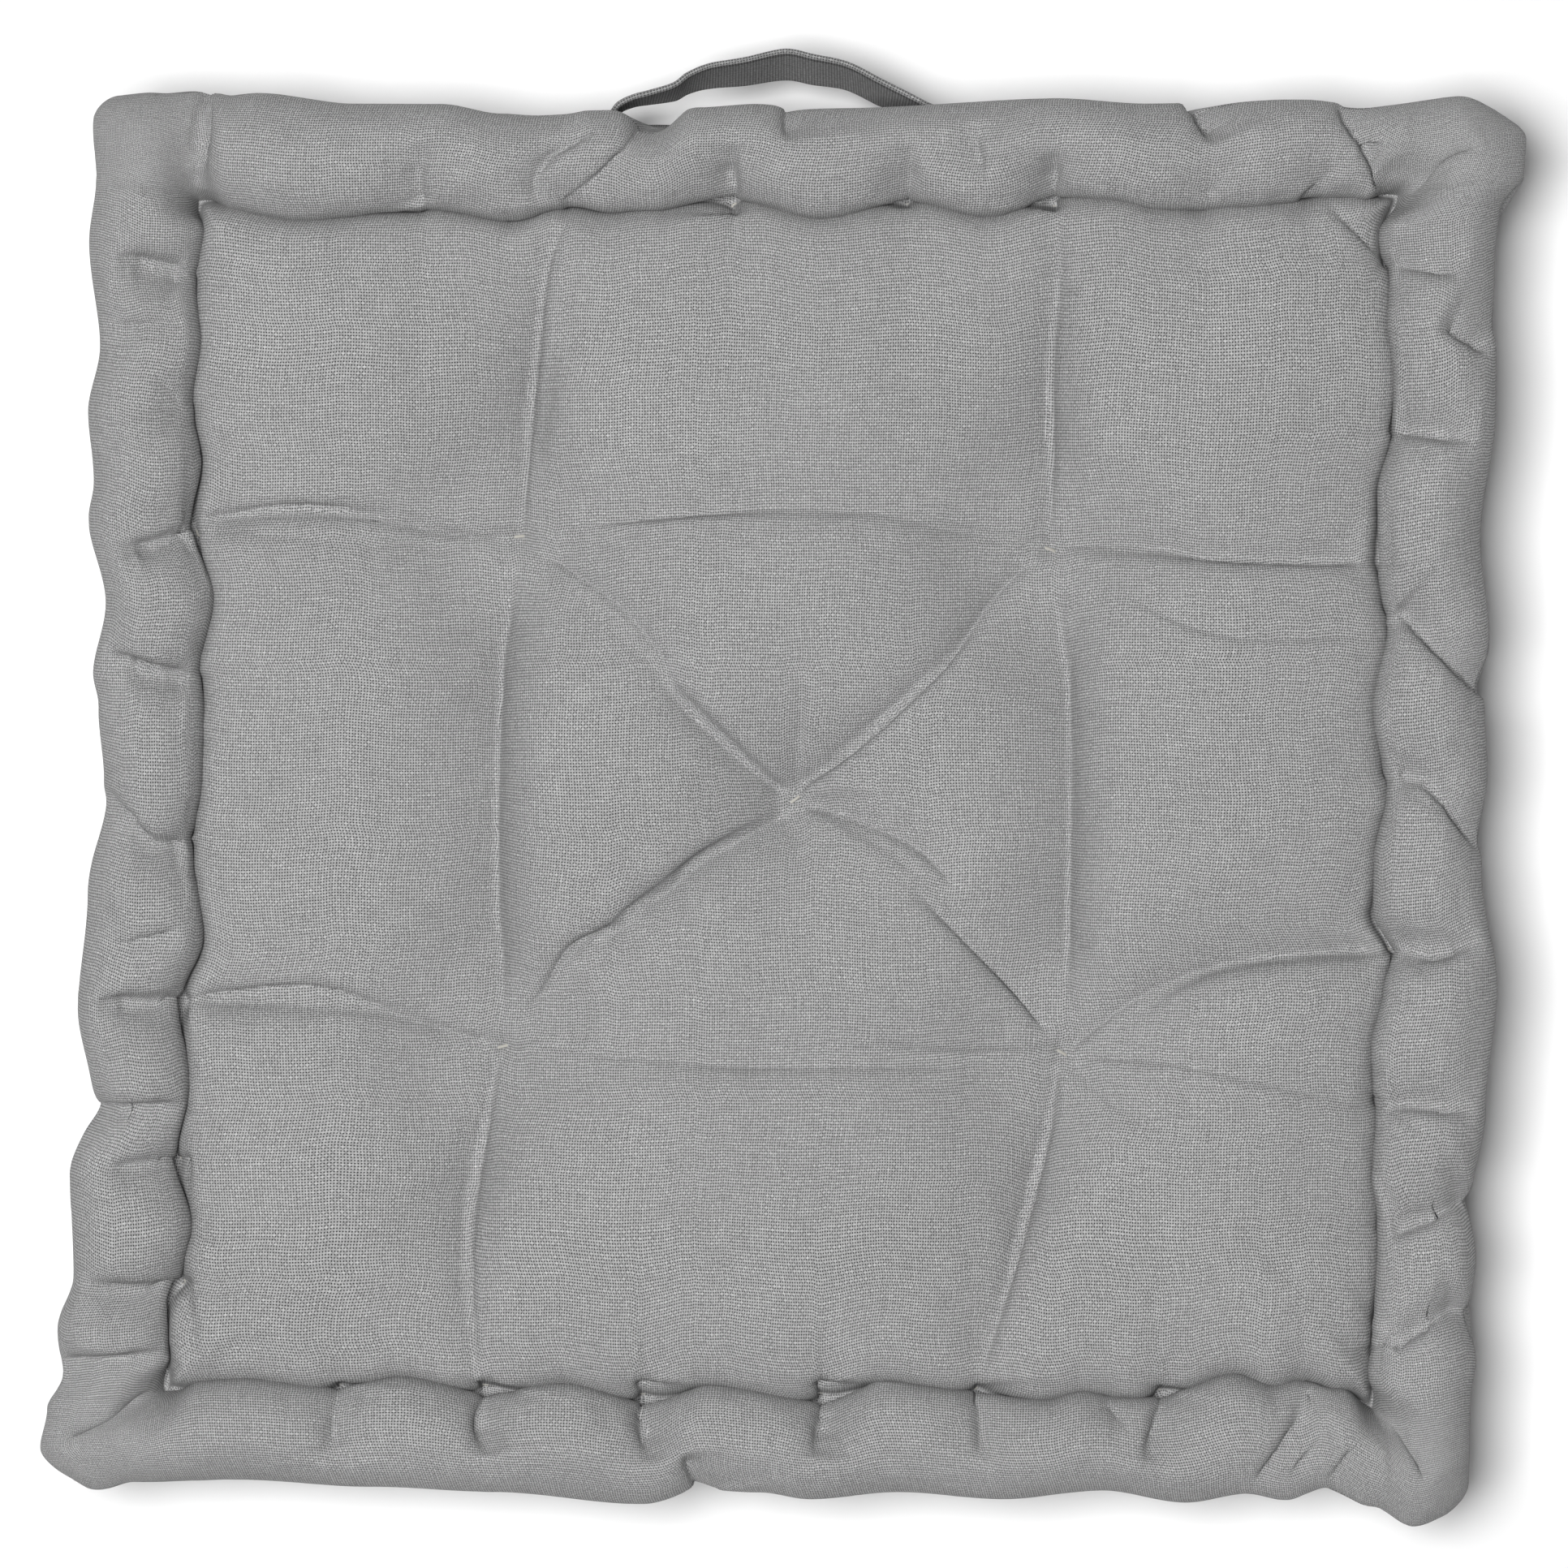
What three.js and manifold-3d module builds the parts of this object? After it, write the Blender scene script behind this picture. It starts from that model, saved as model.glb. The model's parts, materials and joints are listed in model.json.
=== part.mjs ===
// Tufted floor cushion with stitched, rolled edges and a cloth carry handle on its back side.
// Units are millimetres. The cushion lies flat on the floor: +Z is up, +Y points to the handle
// side, and the origin is on the floor below the middle of the cushion.
import * as THREE from 'three';
import { mergeVertices } from 'three/addons/utils/BufferGeometryUtils.js';
import Module from 'manifold-3d';

const wasm = await Module();
wasm.setup();

// ---- Driving dimensions ----
const SIDE_REACH = 200; // centre to the outside of the roll, at the middle of a side
const FIELD_REACH = 169; // centre to the groove between the quilted field and the roll
const ROLL_WIDTH = SIDE_REACH - FIELD_REACH;
const ROLL_TOP = 76; // top of the upper roll
const ROLL_HEIGHT = 28;
const PILLOW_TOP = 80; // highest part of the quilted field
const TUFT_TOP = 56; // bottom of each tuft's dimple, seen from above
const DIMPLE_SPREAD = 24;
const GRID_PULL_SPREAD = 30; // how far from a tuft the mesh is drawn towards it
const CORNER_RADIUS = 26;
// How far the stuffed corners push out past the sides; the back side stays nearly straight.
const CORNER_PROUD = { sideways: 13, front: 12, back: 1.5 };
const BAND_REACH = 192; // centre to the side band, which is set back between the rolls
const CLOTH = 0.8;
const GAP = 0.3; // clearance between neighbouring pieces
const SEAM_GAP = 0.8; // between the edges of a panel and the band, where they are sewn
const PADDING_GAP = 2.2; // filling to cover, measured straight up
const EDGE_PADDING_GAP = 5.8; // the same beside the groove, where the cover dips
const CORE_REACH = 163;

const GROOVE_TOP = ROLL_TOP - ROLL_HEIGHT / 2;
const ROLL_CENTRE = SIDE_REACH - ROLL_WIDTH / 2;
const MIDDLE = ROLL_TOP / 2; // the cushion is mirrored above and below this height

const TUFTS = {
  center: { at: [0.7, -0.7], nominal: [0, 0] },
  back_left: { at: [-78, 74.5], nominal: [-77, 77] },
  back_right: { at: [73.6, 70.8], nominal: [77, 77] },
  front_left: { at: [-82.8, -71.3], nominal: [-77, -77] },
  front_right: { at: [77, -73.1], nominal: [77, -77] },
};
const TIE_RADIUS = 0.8;
const TIE_HOLE_RADIUS = 1.2;
const KNOT_RADIUS = 2.2;
const KNOT_HEIGHT = 2.4;
const KNOT_LIFT = 2.2; // bottom of a knot above the bottom of its dimple

const STITCH_RADIUS = 0.6;
const STITCH_LIFT = 1.9; // thread centre above the groove

const STRAP_WIDTH = 22;
const STRAP_THICKNESS = 1.6;
const STRAP_DROOP = THREE.MathUtils.degToRad(18); // the loop hangs this far below level
const SWING_REACH = 201.5; // the loop bends up and down about a line at this Y
const BARTACK_RADIUS = 0.4;
const BARTACK_WIDTH = 13;
const BARTACK_HEIGHT = 15;

// ---- Materials ----
function material(color, roughness) {
  return new THREE.MeshStandardMaterial({ color, roughness, metalness: 0 });
}
const canvas = () => material(0x9e9e9d, 0.92);
const thread = () => material(0xe4ddcc, 0.8);
const filling = () => material(0xe9e6df, 1.0);

// ---- Shape of the cushion ----

// Moves a point of a square plan onto the cushion's plan, whose corners are round and stand
// proud of the sides. The field inside the groove stays as it is.
function planPoint(x, y) {
  const reach = Math.max(Math.abs(x), Math.abs(y));
  const share = Math.max(0, (reach - FIELD_REACH) / ROLL_WIDTH);
  if (share === 0) return [x, y];
  const radius = CORNER_RADIUS * share;
  const centre = reach - radius;
  let px = Math.abs(x);
  let py = Math.abs(y);
  if (px > centre && py > centre) {
    const length = Math.hypot(px - centre, py - centre);
    px = centre + ((px - centre) / length) * radius;
    py = centre + ((py - centre) / length) * radius;
  }
  const nearCorner = Math.min(Math.abs(x), Math.abs(y)) / reach;
  const push = (share * THREE.MathUtils.smoothstep(nearCorner, 0.55, 1)) / reach;
  const alongY = y > 0 ? CORNER_PROUD.back : CORNER_PROUD.front;
  return [
    Math.sign(x) * px * (1 + push * CORNER_PROUD.sideways),
    Math.sign(y) * py * (1 + push * alongY),
  ];
}

// A point on one of the four sides, counted in quarter turns from the +X side. share is the
// place along the side: -1 and 1 are its corners.
function sidePoint(turn, reach, share, height) {
  const square = [
    [reach, reach * share],
    [-reach * share, reach],
    [-reach, -reach * share],
    [reach * share, -reach],
  ][turn];
  return new THREE.Vector3(...planPoint(...square), height);
}

// Height of the roll over a point whose square reach is given.
function rollHeight(reach) {
  const across = THREE.MathUtils.clamp((reach - ROLL_CENTRE) / (ROLL_WIDTH / 2), -1, 1);
  return GROOVE_TOP + (ROLL_HEIGHT / 2) * Math.sqrt(1 - across * across);
}

// Height of the quilted field, which falls to the groove at its edge and to each tuft.
function fieldHeight(x, y) {
  const reach = Math.max(Math.abs(x), Math.abs(y)) / FIELD_REACH;
  let height = GROOVE_TOP + (PILLOW_TOP - GROOVE_TOP) * (1 - reach ** 8);
  for (const { at } of Object.values(TUFTS)) {
    const distance = Math.hypot(x - at[0], y - at[1]);
    height -= (height - TUFT_TOP) * Math.exp(-((distance / DIMPLE_SPREAD) ** 2));
  }
  return height;
}

// Draws the grid's lines towards the tufts, so that a corner of the grid lies on each one.
function towardsTufts(x, y) {
  let [px, py] = [x, y];
  for (const { at, nominal } of Object.values(TUFTS)) {
    const pull = Math.exp(-((Math.hypot(x - nominal[0], y - nominal[1]) / GRID_PULL_SPREAD) ** 2));
    px += pull * (at[0] - nominal[0]);
    py += pull * (at[1] - nominal[1]);
  }
  return [px, py];
}

function topPoint(x, y) {
  if (Math.max(Math.abs(x), Math.abs(y)) > FIELD_REACH) {
    const [px, py] = planPoint(x, y);
    return new THREE.Vector3(px, py, rollHeight(Math.max(Math.abs(x), Math.abs(y))));
  }
  const [px, py] = towardsTufts(x, y);
  return new THREE.Vector3(px, py, fieldHeight(px, py));
}

// The underside mirrors the top, and its pillows are pressed flat on the floor.
function bottomPoint(x, y) {
  const point = topPoint(x, y);
  point.z = Math.max(0, ROLL_TOP - point.z);
  return point;
}

// ---- Mesh builders ----

function solidFromTriangles(points, triangles) {
  const geometry = new THREE.BufferGeometry();
  geometry.setAttribute('position', new THREE.Float32BufferAttribute(points.flatMap((p) => p.toArray()), 3));
  geometry.setIndex(triangles);
  return geometry;
}

// A closed solid between two grids of points, the upper one facing up.
function solidBetweenGrids(upper, lower) {
  const rows = upper.length;
  const columns = upper[0].length;
  const points = [...upper.flat(), ...lower.flat()];
  const top = (i, j) => i * columns + j;
  const bottom = (i, j) => rows * columns + i * columns + j;
  const triangles = [];
  const quad = (a, b, c, d) => triangles.push(a, b, c, a, c, d);
  for (let i = 0; i + 1 < rows; i++) {
    for (let j = 0; j + 1 < columns; j++) {
      quad(top(i, j), top(i + 1, j), top(i + 1, j + 1), top(i, j + 1));
      quad(bottom(i, j), bottom(i, j + 1), bottom(i + 1, j + 1), bottom(i + 1, j));
    }
  }
  for (let i = 0; i + 1 < rows; i++) {
    quad(top(i + 1, 0), top(i, 0), bottom(i, 0), bottom(i + 1, 0));
    quad(top(i, columns - 1), top(i + 1, columns - 1), bottom(i + 1, columns - 1), bottom(i, columns - 1));
  }
  for (let j = 0; j + 1 < columns; j++) {
    quad(top(0, j), top(0, j + 1), bottom(0, j + 1), bottom(0, j));
    quad(top(rows - 1, j + 1), top(rows - 1, j), bottom(rows - 1, j), bottom(rows - 1, j + 1));
  }
  return solidFromTriangles(points, triangles);
}

// Moves every point of a grid along the surface normal there.
function offsetGrid(grid, distance) {
  return grid.map((row, i) =>
    row.map((point, j) => {
      const before = grid[Math.max(i - 1, 0)][j];
      const after = grid[Math.min(i + 1, grid.length - 1)][j];
      const left = row[Math.max(j - 1, 0)];
      const right = row[Math.min(j + 1, row.length - 1)];
      const normal = after.clone().sub(before).cross(right.clone().sub(left)).normalize();
      return point.clone().addScaledVector(normal, distance);
    }),
  );
}

// A solid swept through sections that have equal numbers of points. A closed sweep joins its
// last section to its first; an open one is capped across its section's two halves.
function sweep(sections, closed) {
  const count = sections[0].length;
  const triangles = [];
  const last = closed ? sections.length : sections.length - 1;
  for (let s = 0; s < last; s++) {
    const here = s * count;
    const next = ((s + 1) % sections.length) * count;
    for (let k = 0; k < count; k++) {
      const l = (k + 1) % count;
      triangles.push(here + k, here + l, next + l, here + k, next + l, next + k);
    }
  }
  if (!closed) {
    const end = (sections.length - 1) * count;
    for (let k = 0; k < count / 2 - 1; k++) {
      const [a, b, c, d] = [k, k + 1, count - 2 - k, count - 1 - k];
      triangles.push(a, c, b, a, d, c);
      triangles.push(end + a, end + b, end + c, end + a, end + c, end + d);
    }
  }
  return solidFromTriangles(sections.flat(), triangles);
}

function toSolid(geometry) {
  const bare = geometry.clone();
  bare.deleteAttribute('normal');
  bare.deleteAttribute('uv');
  const merged = mergeVertices(bare);
  return new wasm.Manifold(
    new wasm.Mesh({
      numProp: 3,
      vertProperties: new Float32Array(merged.attributes.position.array),
      triVerts: new Uint32Array(merged.index.array),
    }),
  );
}

function fromSolid(solid) {
  const { vertProperties, triVerts } = solid.getMesh();
  const geometry = new THREE.BufferGeometry();
  geometry.setAttribute('position', new THREE.BufferAttribute(vertProperties, 3));
  geometry.setIndex(new THREE.BufferAttribute(triVerts, 1));
  return geometry;
}

// Cuts the needle hole of every tuft tie through a piece.
function withTieHoles(geometry) {
  let solid = toSolid(geometry);
  for (const { at } of Object.values(TUFTS)) {
    const drill = new THREE.CylinderGeometry(TIE_HOLE_RADIUS, TIE_HOLE_RADIUS, 2 * PILLOW_TOP, 10);
    drill.rotateX(Math.PI / 2).translate(at[0], at[1], MIDDLE);
    solid = solid.subtract(toSolid(drill));
  }
  return fromSolid(solid);
}

// ---- Cover ----

// Grid lines: even steps of angle over the roll, and lines through the tufts in the field.
const ROLL_STEPS = 6;
const FIELD_LINES = [0, 27, 52, 77, 102, 127, 151];
function gridLines(outer) {
  const half = [...FIELD_LINES.slice(1), ...outer];
  return [...half.map((v) => -v).reverse(), 0, ...half];
}
const rollLines = Array.from({ length: ROLL_STEPS + 1 }, (_, k) => {
  return ROLL_CENTRE - (ROLL_WIDTH / 2) * Math.cos((k / ROLL_STEPS) * Math.PI);
});

function surfaceGrid(lines, pointAt) {
  return lines.map((x) => lines.map((y) => pointAt(x, y)));
}

function topPanel() {
  const outside = surfaceGrid(gridLines(rollLines), topPoint);
  return withTieHoles(solidBetweenGrids(outside, offsetGrid(outside, -CLOTH)));
}

function bottomPanel() {
  const outside = surfaceGrid(gridLines(rollLines), bottomPoint);
  return withTieHoles(solidBetweenGrids(offsetGrid(outside, CLOTH), outside));
}

// The band's outline from the upper seam to the lower one, as reach and height: down the
// outside of the upper roll, straight down the set-back band, and out round the lower roll.
function bandOutline() {
  const outline = [];
  const inset = Math.acos((BAND_REACH - ROLL_CENTRE) / (ROLL_WIDTH / 2));
  const seamAngle = SEAM_GAP / (ROLL_HEIGHT / 2);
  for (let k = 0; k <= 4; k++) {
    const angle = seamAngle + (k / 4) * (inset - seamAngle);
    const reach = ROLL_CENTRE + (ROLL_WIDTH / 2) * Math.cos(angle);
    outline.push([reach, GROOVE_TOP - (ROLL_HEIGHT / 2) * Math.sin(angle)]);
  }
  const lower = outline.map(([reach, height]) => [reach, ROLL_TOP - height]).reverse();
  return [...outline, ...lower];
}

// One strip of the side band.
function sideBand(turn) {
  const outside = bandOutline();
  const inside = outside.map(([reach, height]) => [reach - CLOTH, height]).reverse();
  const cornerGap = 1 - GAP / SIDE_REACH;
  const stops = [0.27, 0.55, 0.72, 0.82, 0.88, 0.94, cornerGap];
  const along = [...stops.map((v) => -v).reverse(), 0, ...stops];
  const sections = along.map((share) =>
    [...outside, ...inside].map(([reach, height]) => sidePoint(turn, reach, share, height)),
  );
  return sweep(sections, false);
}

// ---- Filling ----

function coreFilling() {
  const lines = gridLines([CORE_REACH]);
  const moved = (pointAt, direction) => (x, y) => {
    const atEdge = Math.max(Math.abs(x), Math.abs(y)) === CORE_REACH;
    const point = pointAt(x, y);
    point.z += direction * (atEdge ? EDGE_PADDING_GAP : PADDING_GAP);
    return point;
  };
  const upper = surfaceGrid(lines, moved(topPoint, -1));
  const lower = surfaceGrid(lines, moved(bottomPoint, 1));
  return withTieHoles(solidBetweenGrids(upper, lower));
}

// Stations round the cushion: quarter turns from the +X side, and places along that side as
// shares of the reach, from one corner up to the next.
function ringStations() {
  const side = [-1, -0.94, -0.88, -0.7, -0.4, 0, 0.4, 0.7, 0.88, 0.94];
  const stations = [];
  for (let turn = 0; turn < 4; turn++) {
    for (const share of side) stations.push({ turn, share });
  }
  return stations;
}

// A closed ring round the cushion whose section is an ellipse.
function edgeRing(reach, height, halfWidth, halfHeight, sides) {
  const sections = ringStations().map(({ turn, share }) =>
    Array.from({ length: sides }, (_, k) => {
      const angle = (-2 * Math.PI * k) / sides;
      const outward = reach + halfWidth * Math.cos(angle);
      return sidePoint(turn, outward, share, height + halfHeight * Math.sin(angle));
    }),
  );
  return sweep(sections, true);
}

function edgeFilling(height) {
  const clearance = CLOTH + 5 * GAP;
  return edgeRing(ROLL_CENTRE, height, ROLL_WIDTH / 2 - clearance, ROLL_HEIGHT / 2 - clearance, 12);
}

// ---- Thread ----

function edgeStitch(height) {
  return edgeRing(FIELD_REACH - 0.4, height, STITCH_RADIUS, STITCH_RADIUS, 6);
}

// A tuft tie: a doubled thread through the cushion with a knot in each dimple.
function tuftTie() {
  const half = TUFT_TOP - MIDDLE + KNOT_LIFT;
  const upper = [
    [TIE_RADIUS, half],
    [KNOT_RADIUS, half + 0.3 * KNOT_HEIGHT],
    [KNOT_RADIUS, half + 0.7 * KNOT_HEIGHT],
    [0, half + KNOT_HEIGHT],
  ];
  const lower = upper.map(([radius, height]) => [radius, -height]).reverse();
  const profile = [...lower, ...upper].map(([radius, height]) => new THREE.Vector2(radius, height));
  return new THREE.LatheGeometry(profile, 10).rotateX(Math.PI / 2);
}

// ---- Carry handle ----

// A flat strap along a path. Each stop gives the strap's centre; widthAlong points across it.
function strap(centres, widthAlong) {
  const path = new THREE.CatmullRomCurve3(centres, false, 'centripetal');
  const steps = (centres.length - 1) * 2;
  const sections = [];
  for (let s = 0; s <= steps; s++) {
    const centre = path.getPoint(s / steps);
    const tangent = path.getTangent(s / steps);
    const face = tangent.clone().cross(widthAlong).normalize();
    const corner = (across, out) =>
      centre
        .clone()
        .addScaledVector(widthAlong, (across * STRAP_WIDTH) / 2)
        .addScaledVector(face, (out * STRAP_THICKNESS) / 2);
    sections.push([corner(1, 1), corner(-1, 1), corner(-1, -1), corner(1, -1)]);
  }
  return sweep(sections, false);
}

// The free loop of the handle. Its stops are the place along X and the distance out from the
// line that it swings about.
function handleLoop() {
  const stops = [
    [-49.5, 0],
    [-47.5, 2.2],
    [-40, 3],
    [-29, 4.4],
    [-17.7, 6.7],
    [-2.3, 9.8],
    [9.9, 7.2],
    [23.7, 2.8],
    [32, 0],
  ];
  const outward = new THREE.Vector3(0, Math.cos(STRAP_DROOP), -Math.sin(STRAP_DROOP));
  const across = new THREE.Vector3(0, Math.sin(STRAP_DROOP), Math.cos(STRAP_DROOP));
  const centres = stops.map(([x, out]) =>
    new THREE.Vector3(x, SWING_REACH, MIDDLE).addScaledVector(outward, out),
  );
  return strap(centres, across);
}

const TAB_CENTRE = BAND_REACH + GAP + STRAP_THICKNESS / 2;

// The ends of the strap, sewn flat to the back band and leading out between the rolls.
function handleEnd(stops) {
  const centres = stops.map(([x, y]) => new THREE.Vector3(x, y, MIDDLE));
  return strap(centres, new THREE.Vector3(0, 0, 1));
}
const LEFT_END = [
  [-75, TAB_CENTRE],
  [-66, TAB_CENTRE],
  [-57, TAB_CENTRE + 0.2],
  [-52.8, 195.5],
  [-51.6, 200.6],
];
const RIGHT_END = [
  [76, TAB_CENTRE],
  [67, TAB_CENTRE],
  [58, TAB_CENTRE + 0.2],
  [46, 197],
  [34.5, 201],
];

// A box of stitching on a sewn end, drawn as one thread.
function bartack(x) {
  const [halfWidth, halfHeight] = [BARTACK_WIDTH / 2, BARTACK_HEIGHT / 2];
  const y = TAB_CENTRE + STRAP_THICKNESS / 2 + GAP + BARTACK_RADIUS;
  const corners = [[1, 1], [-1, 1], [-1, -1], [1, -1]];
  const sections = corners.map(([side, up]) =>
    Array.from({ length: 6 }, (_, k) => {
      const angle = (2 * Math.PI * k) / 6;
      const spread = BARTACK_RADIUS * Math.cos(angle);
      const px = x + side * (halfWidth + spread);
      return new THREE.Vector3(px, y + BARTACK_RADIUS * Math.sin(angle), MIDDLE + up * (halfHeight + spread));
    }),
  );
  return sweep(sections, true);
}

// ---- Assembly ----

const cushion = new THREE.Group();
function add(name, geometry, look, x = 0, y = 0, z = 0) {
  const mesh = new THREE.Mesh(geometry, look);
  mesh.name = name;
  mesh.position.set(x, y, z);
  cushion.add(mesh);
}

add('top_panel', topPanel(), canvas());
add('bottom_panel', bottomPanel(), canvas());
['right', 'back', 'left', 'front'].forEach((side, turn) => {
  add(`side_band_${side}`, sideBand(turn), canvas());
});
add('core_filling', coreFilling(), filling());
add('edge_roll_filling_top', edgeFilling(GROOVE_TOP), filling());
add('edge_roll_filling_bottom', edgeFilling(ROLL_TOP - GROOVE_TOP), filling());
add('edge_stitching_top', edgeStitch(GROOVE_TOP + STITCH_LIFT), thread());
add('edge_stitching_bottom', edgeStitch(ROLL_TOP - GROOVE_TOP - STITCH_LIFT), thread());
for (const [name, { at }] of Object.entries(TUFTS)) {
  add(`tuft_tie_${name}`, tuftTie(), thread(), at[0], at[1], MIDDLE);
}
add('carry_handle_loop', handleLoop(), canvas());
add('carry_handle_end_left', handleEnd(LEFT_END), canvas());
add('carry_handle_end_right', handleEnd(RIGHT_END), canvas());
add('handle_stitching_left', bartack(-66), thread());
add('handle_stitching_right', bartack(67), thread());

export default cushion;
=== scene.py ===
"""Looks of the tufted floor cushion: canvas cover, stitched rolls, tuft ties and carry handle.

Shapes are worked out in millimetres, in the frame's axes, and meshes are written in metres.
The cover starts as a sculpted surface with its broad folds. It is then relaxed as cloth held
near that surface, and gets its fine creases last.
"""
import json
import math

import bpy
import numpy as np
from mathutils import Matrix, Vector

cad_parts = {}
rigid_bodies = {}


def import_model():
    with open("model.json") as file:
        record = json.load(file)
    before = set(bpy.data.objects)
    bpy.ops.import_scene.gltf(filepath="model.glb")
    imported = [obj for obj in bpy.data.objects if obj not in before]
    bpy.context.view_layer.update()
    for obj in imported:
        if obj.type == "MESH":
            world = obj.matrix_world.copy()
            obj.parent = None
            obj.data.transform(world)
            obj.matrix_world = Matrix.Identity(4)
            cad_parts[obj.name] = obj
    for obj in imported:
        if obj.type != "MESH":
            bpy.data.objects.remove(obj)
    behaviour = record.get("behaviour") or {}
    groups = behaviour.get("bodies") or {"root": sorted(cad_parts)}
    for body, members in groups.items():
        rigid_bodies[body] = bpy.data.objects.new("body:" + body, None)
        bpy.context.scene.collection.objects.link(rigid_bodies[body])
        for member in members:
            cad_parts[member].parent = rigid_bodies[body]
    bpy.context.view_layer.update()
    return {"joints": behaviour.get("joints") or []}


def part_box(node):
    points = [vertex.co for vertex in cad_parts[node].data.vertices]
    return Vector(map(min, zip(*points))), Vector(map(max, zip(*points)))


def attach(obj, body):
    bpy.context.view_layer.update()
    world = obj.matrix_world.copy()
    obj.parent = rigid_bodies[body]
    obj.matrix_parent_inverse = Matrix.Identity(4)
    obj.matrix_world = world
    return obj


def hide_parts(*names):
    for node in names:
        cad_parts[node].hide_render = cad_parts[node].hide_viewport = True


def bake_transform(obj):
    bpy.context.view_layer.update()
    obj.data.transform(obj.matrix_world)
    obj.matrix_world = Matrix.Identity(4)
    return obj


for leftover in list(bpy.data.objects):
    bpy.data.objects.remove(leftover)
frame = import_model()


# ---- Sizes from the frame, in millimetres ----

def box_mm(node):
    """Lowest and highest corner of a CAD node."""
    low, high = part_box(node)
    return np.array(low) * 1000, np.array(high) * 1000


CLOTH = 0.8
SEAM_GAP = 0.8
TUFT_NAMES = ("center", "back_left", "back_right", "front_left", "front_right")
TUFTS = {name: sum(box_mm(f"tuft_tie_{name}"))[:2] / 2 for name in TUFT_NAMES}
HINGE = np.array(frame["joints"][0]["pos_m"]) * 1000
MIDDLE = HINGE[2]
PILLOW_TOP = box_mm("top_panel")[1][2]
TUFT_TOP = box_mm("top_panel")[0][2]
RIM_TOP = box_mm("side_band_right")[1][2] + SEAM_GAP
BAND_REACH = box_mm("side_band_right")[0][0] + CLOTH
FIELD_REACH = box_mm("edge_stitching_top")[1][0] - 0.3
ROLL_WIDTH = 31.0
SIDE_REACH = FIELD_REACH + ROLL_WIDTH
ROLL_CENTRE = SIDE_REACH - ROLL_WIDTH / 2
ROLL_RISE = 14.0
CROWN_RISE = ROLL_RISE + 0.5  # the roll before the cloth is settled
OUTER_ROUNDNESS = 1.6  # of the roll's outer half: 2 is an ellipse, less falls away sooner
CORNER_SOFTNESS = 0.34  # how much the rolls run into each other at a corner
GROOVE_FOOT = 53.0  # bottom of the groove between two stitches
FIELD_FOOT = 67.0  # the field beside the groove
FIELD_SLOPE = 34.0  # how far from the groove the field keeps rising
DIMPLE_SPREAD = 21.0  # how far from a tie its dimple keeps rising
ROLL_TOP = RIM_TOP + ROLL_RISE
CUT_STEP = 2.4  # between the lines of the grid that the cloth is made of
FIELD_LINES = 73  # grid lines from the middle to the groove
ROLL_LINES = 25  # grid lines from the groove over the roll to its seam
FIELD_CUT = FIELD_LINES * CUT_STEP
ROLL_CUT = ROLL_LINES * CUT_STEP


# ---- Small helpers ----

def smoothstep(low, high, value):
    share = np.clip((value - low) / (high - low), 0, 1)
    return share * share * (3 - 2 * share)


def ease_through(stops, at):
    """A smooth line through (place, value) stops, level at each stop."""
    places = np.array([stop[0] for stop in stops], float)
    values = np.array([stop[1] for stop in stops], float)
    index = np.clip(np.searchsorted(places, at) - 1, 0, len(places) - 2)
    share = smoothstep(places[index], places[index + 1], at)
    return values[index] * (1 - share) + values[index + 1] * share


def with_run_out(points):
    """The points of a line with one more at each end, straight on."""
    return np.vstack([2 * points[0] - points[1], points, 2 * points[-1] - points[-2]])


def curve_through(points, steps):
    """A smooth curve through all the points but the first and the last, which only aim it."""
    t = np.linspace(0, 1, steps, endpoint=False)[:, None]
    parts = []
    for a, b, c, d in zip(points[:-3], points[1:-2], points[2:-1], points[3:]):
        bend = (2 * a - 5 * b + 4 * c - d) * t**2 + (3 * b - a - 3 * c + d) * t**3
        parts.append(0.5 * (2 * b + (c - a) * t + bend))
    return np.vstack([*parts, points[-2]])


def lengths_along(points):
    """How far along a line each of its points lies."""
    return np.concatenate([[0], np.cumsum(np.linalg.norm(np.diff(points, axis=0), axis=1))])


def smooth_path(points, count, closed=False):
    """Even points on a smooth curve through the given ones."""
    points = np.array(points, float)
    aimed = np.vstack([points[-1], points, points[:2]]) if closed else with_run_out(points)
    fine = curve_through(aimed, 12)
    lengths = lengths_along(fine)
    places = np.linspace(0, lengths[-1], count, endpoint=not closed)
    return np.stack([np.interp(places, lengths, fine[:, k]) for k in range(3)], axis=-1)


def pairs_of(first, second):
    """A grid of pairs from its two lists of places."""
    return np.stack(np.meshgrid(first, second, indexing="ij"), axis=-1)


def grid_normals(points):
    along = np.gradient(points, axis=0)
    across = np.gradient(points, axis=1)
    normal = np.cross(along, across)
    return normal / np.maximum(np.linalg.norm(normal, axis=-1, keepdims=True), 1e-9)


# ---- The four sides of the upper roll ----
# stitches: where thread pulls the groove tight, along the side.
# groove and outline: reach of the roll's inner and outer edge along the side.
# lip: how far from the groove the field begins to drop into it.

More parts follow.
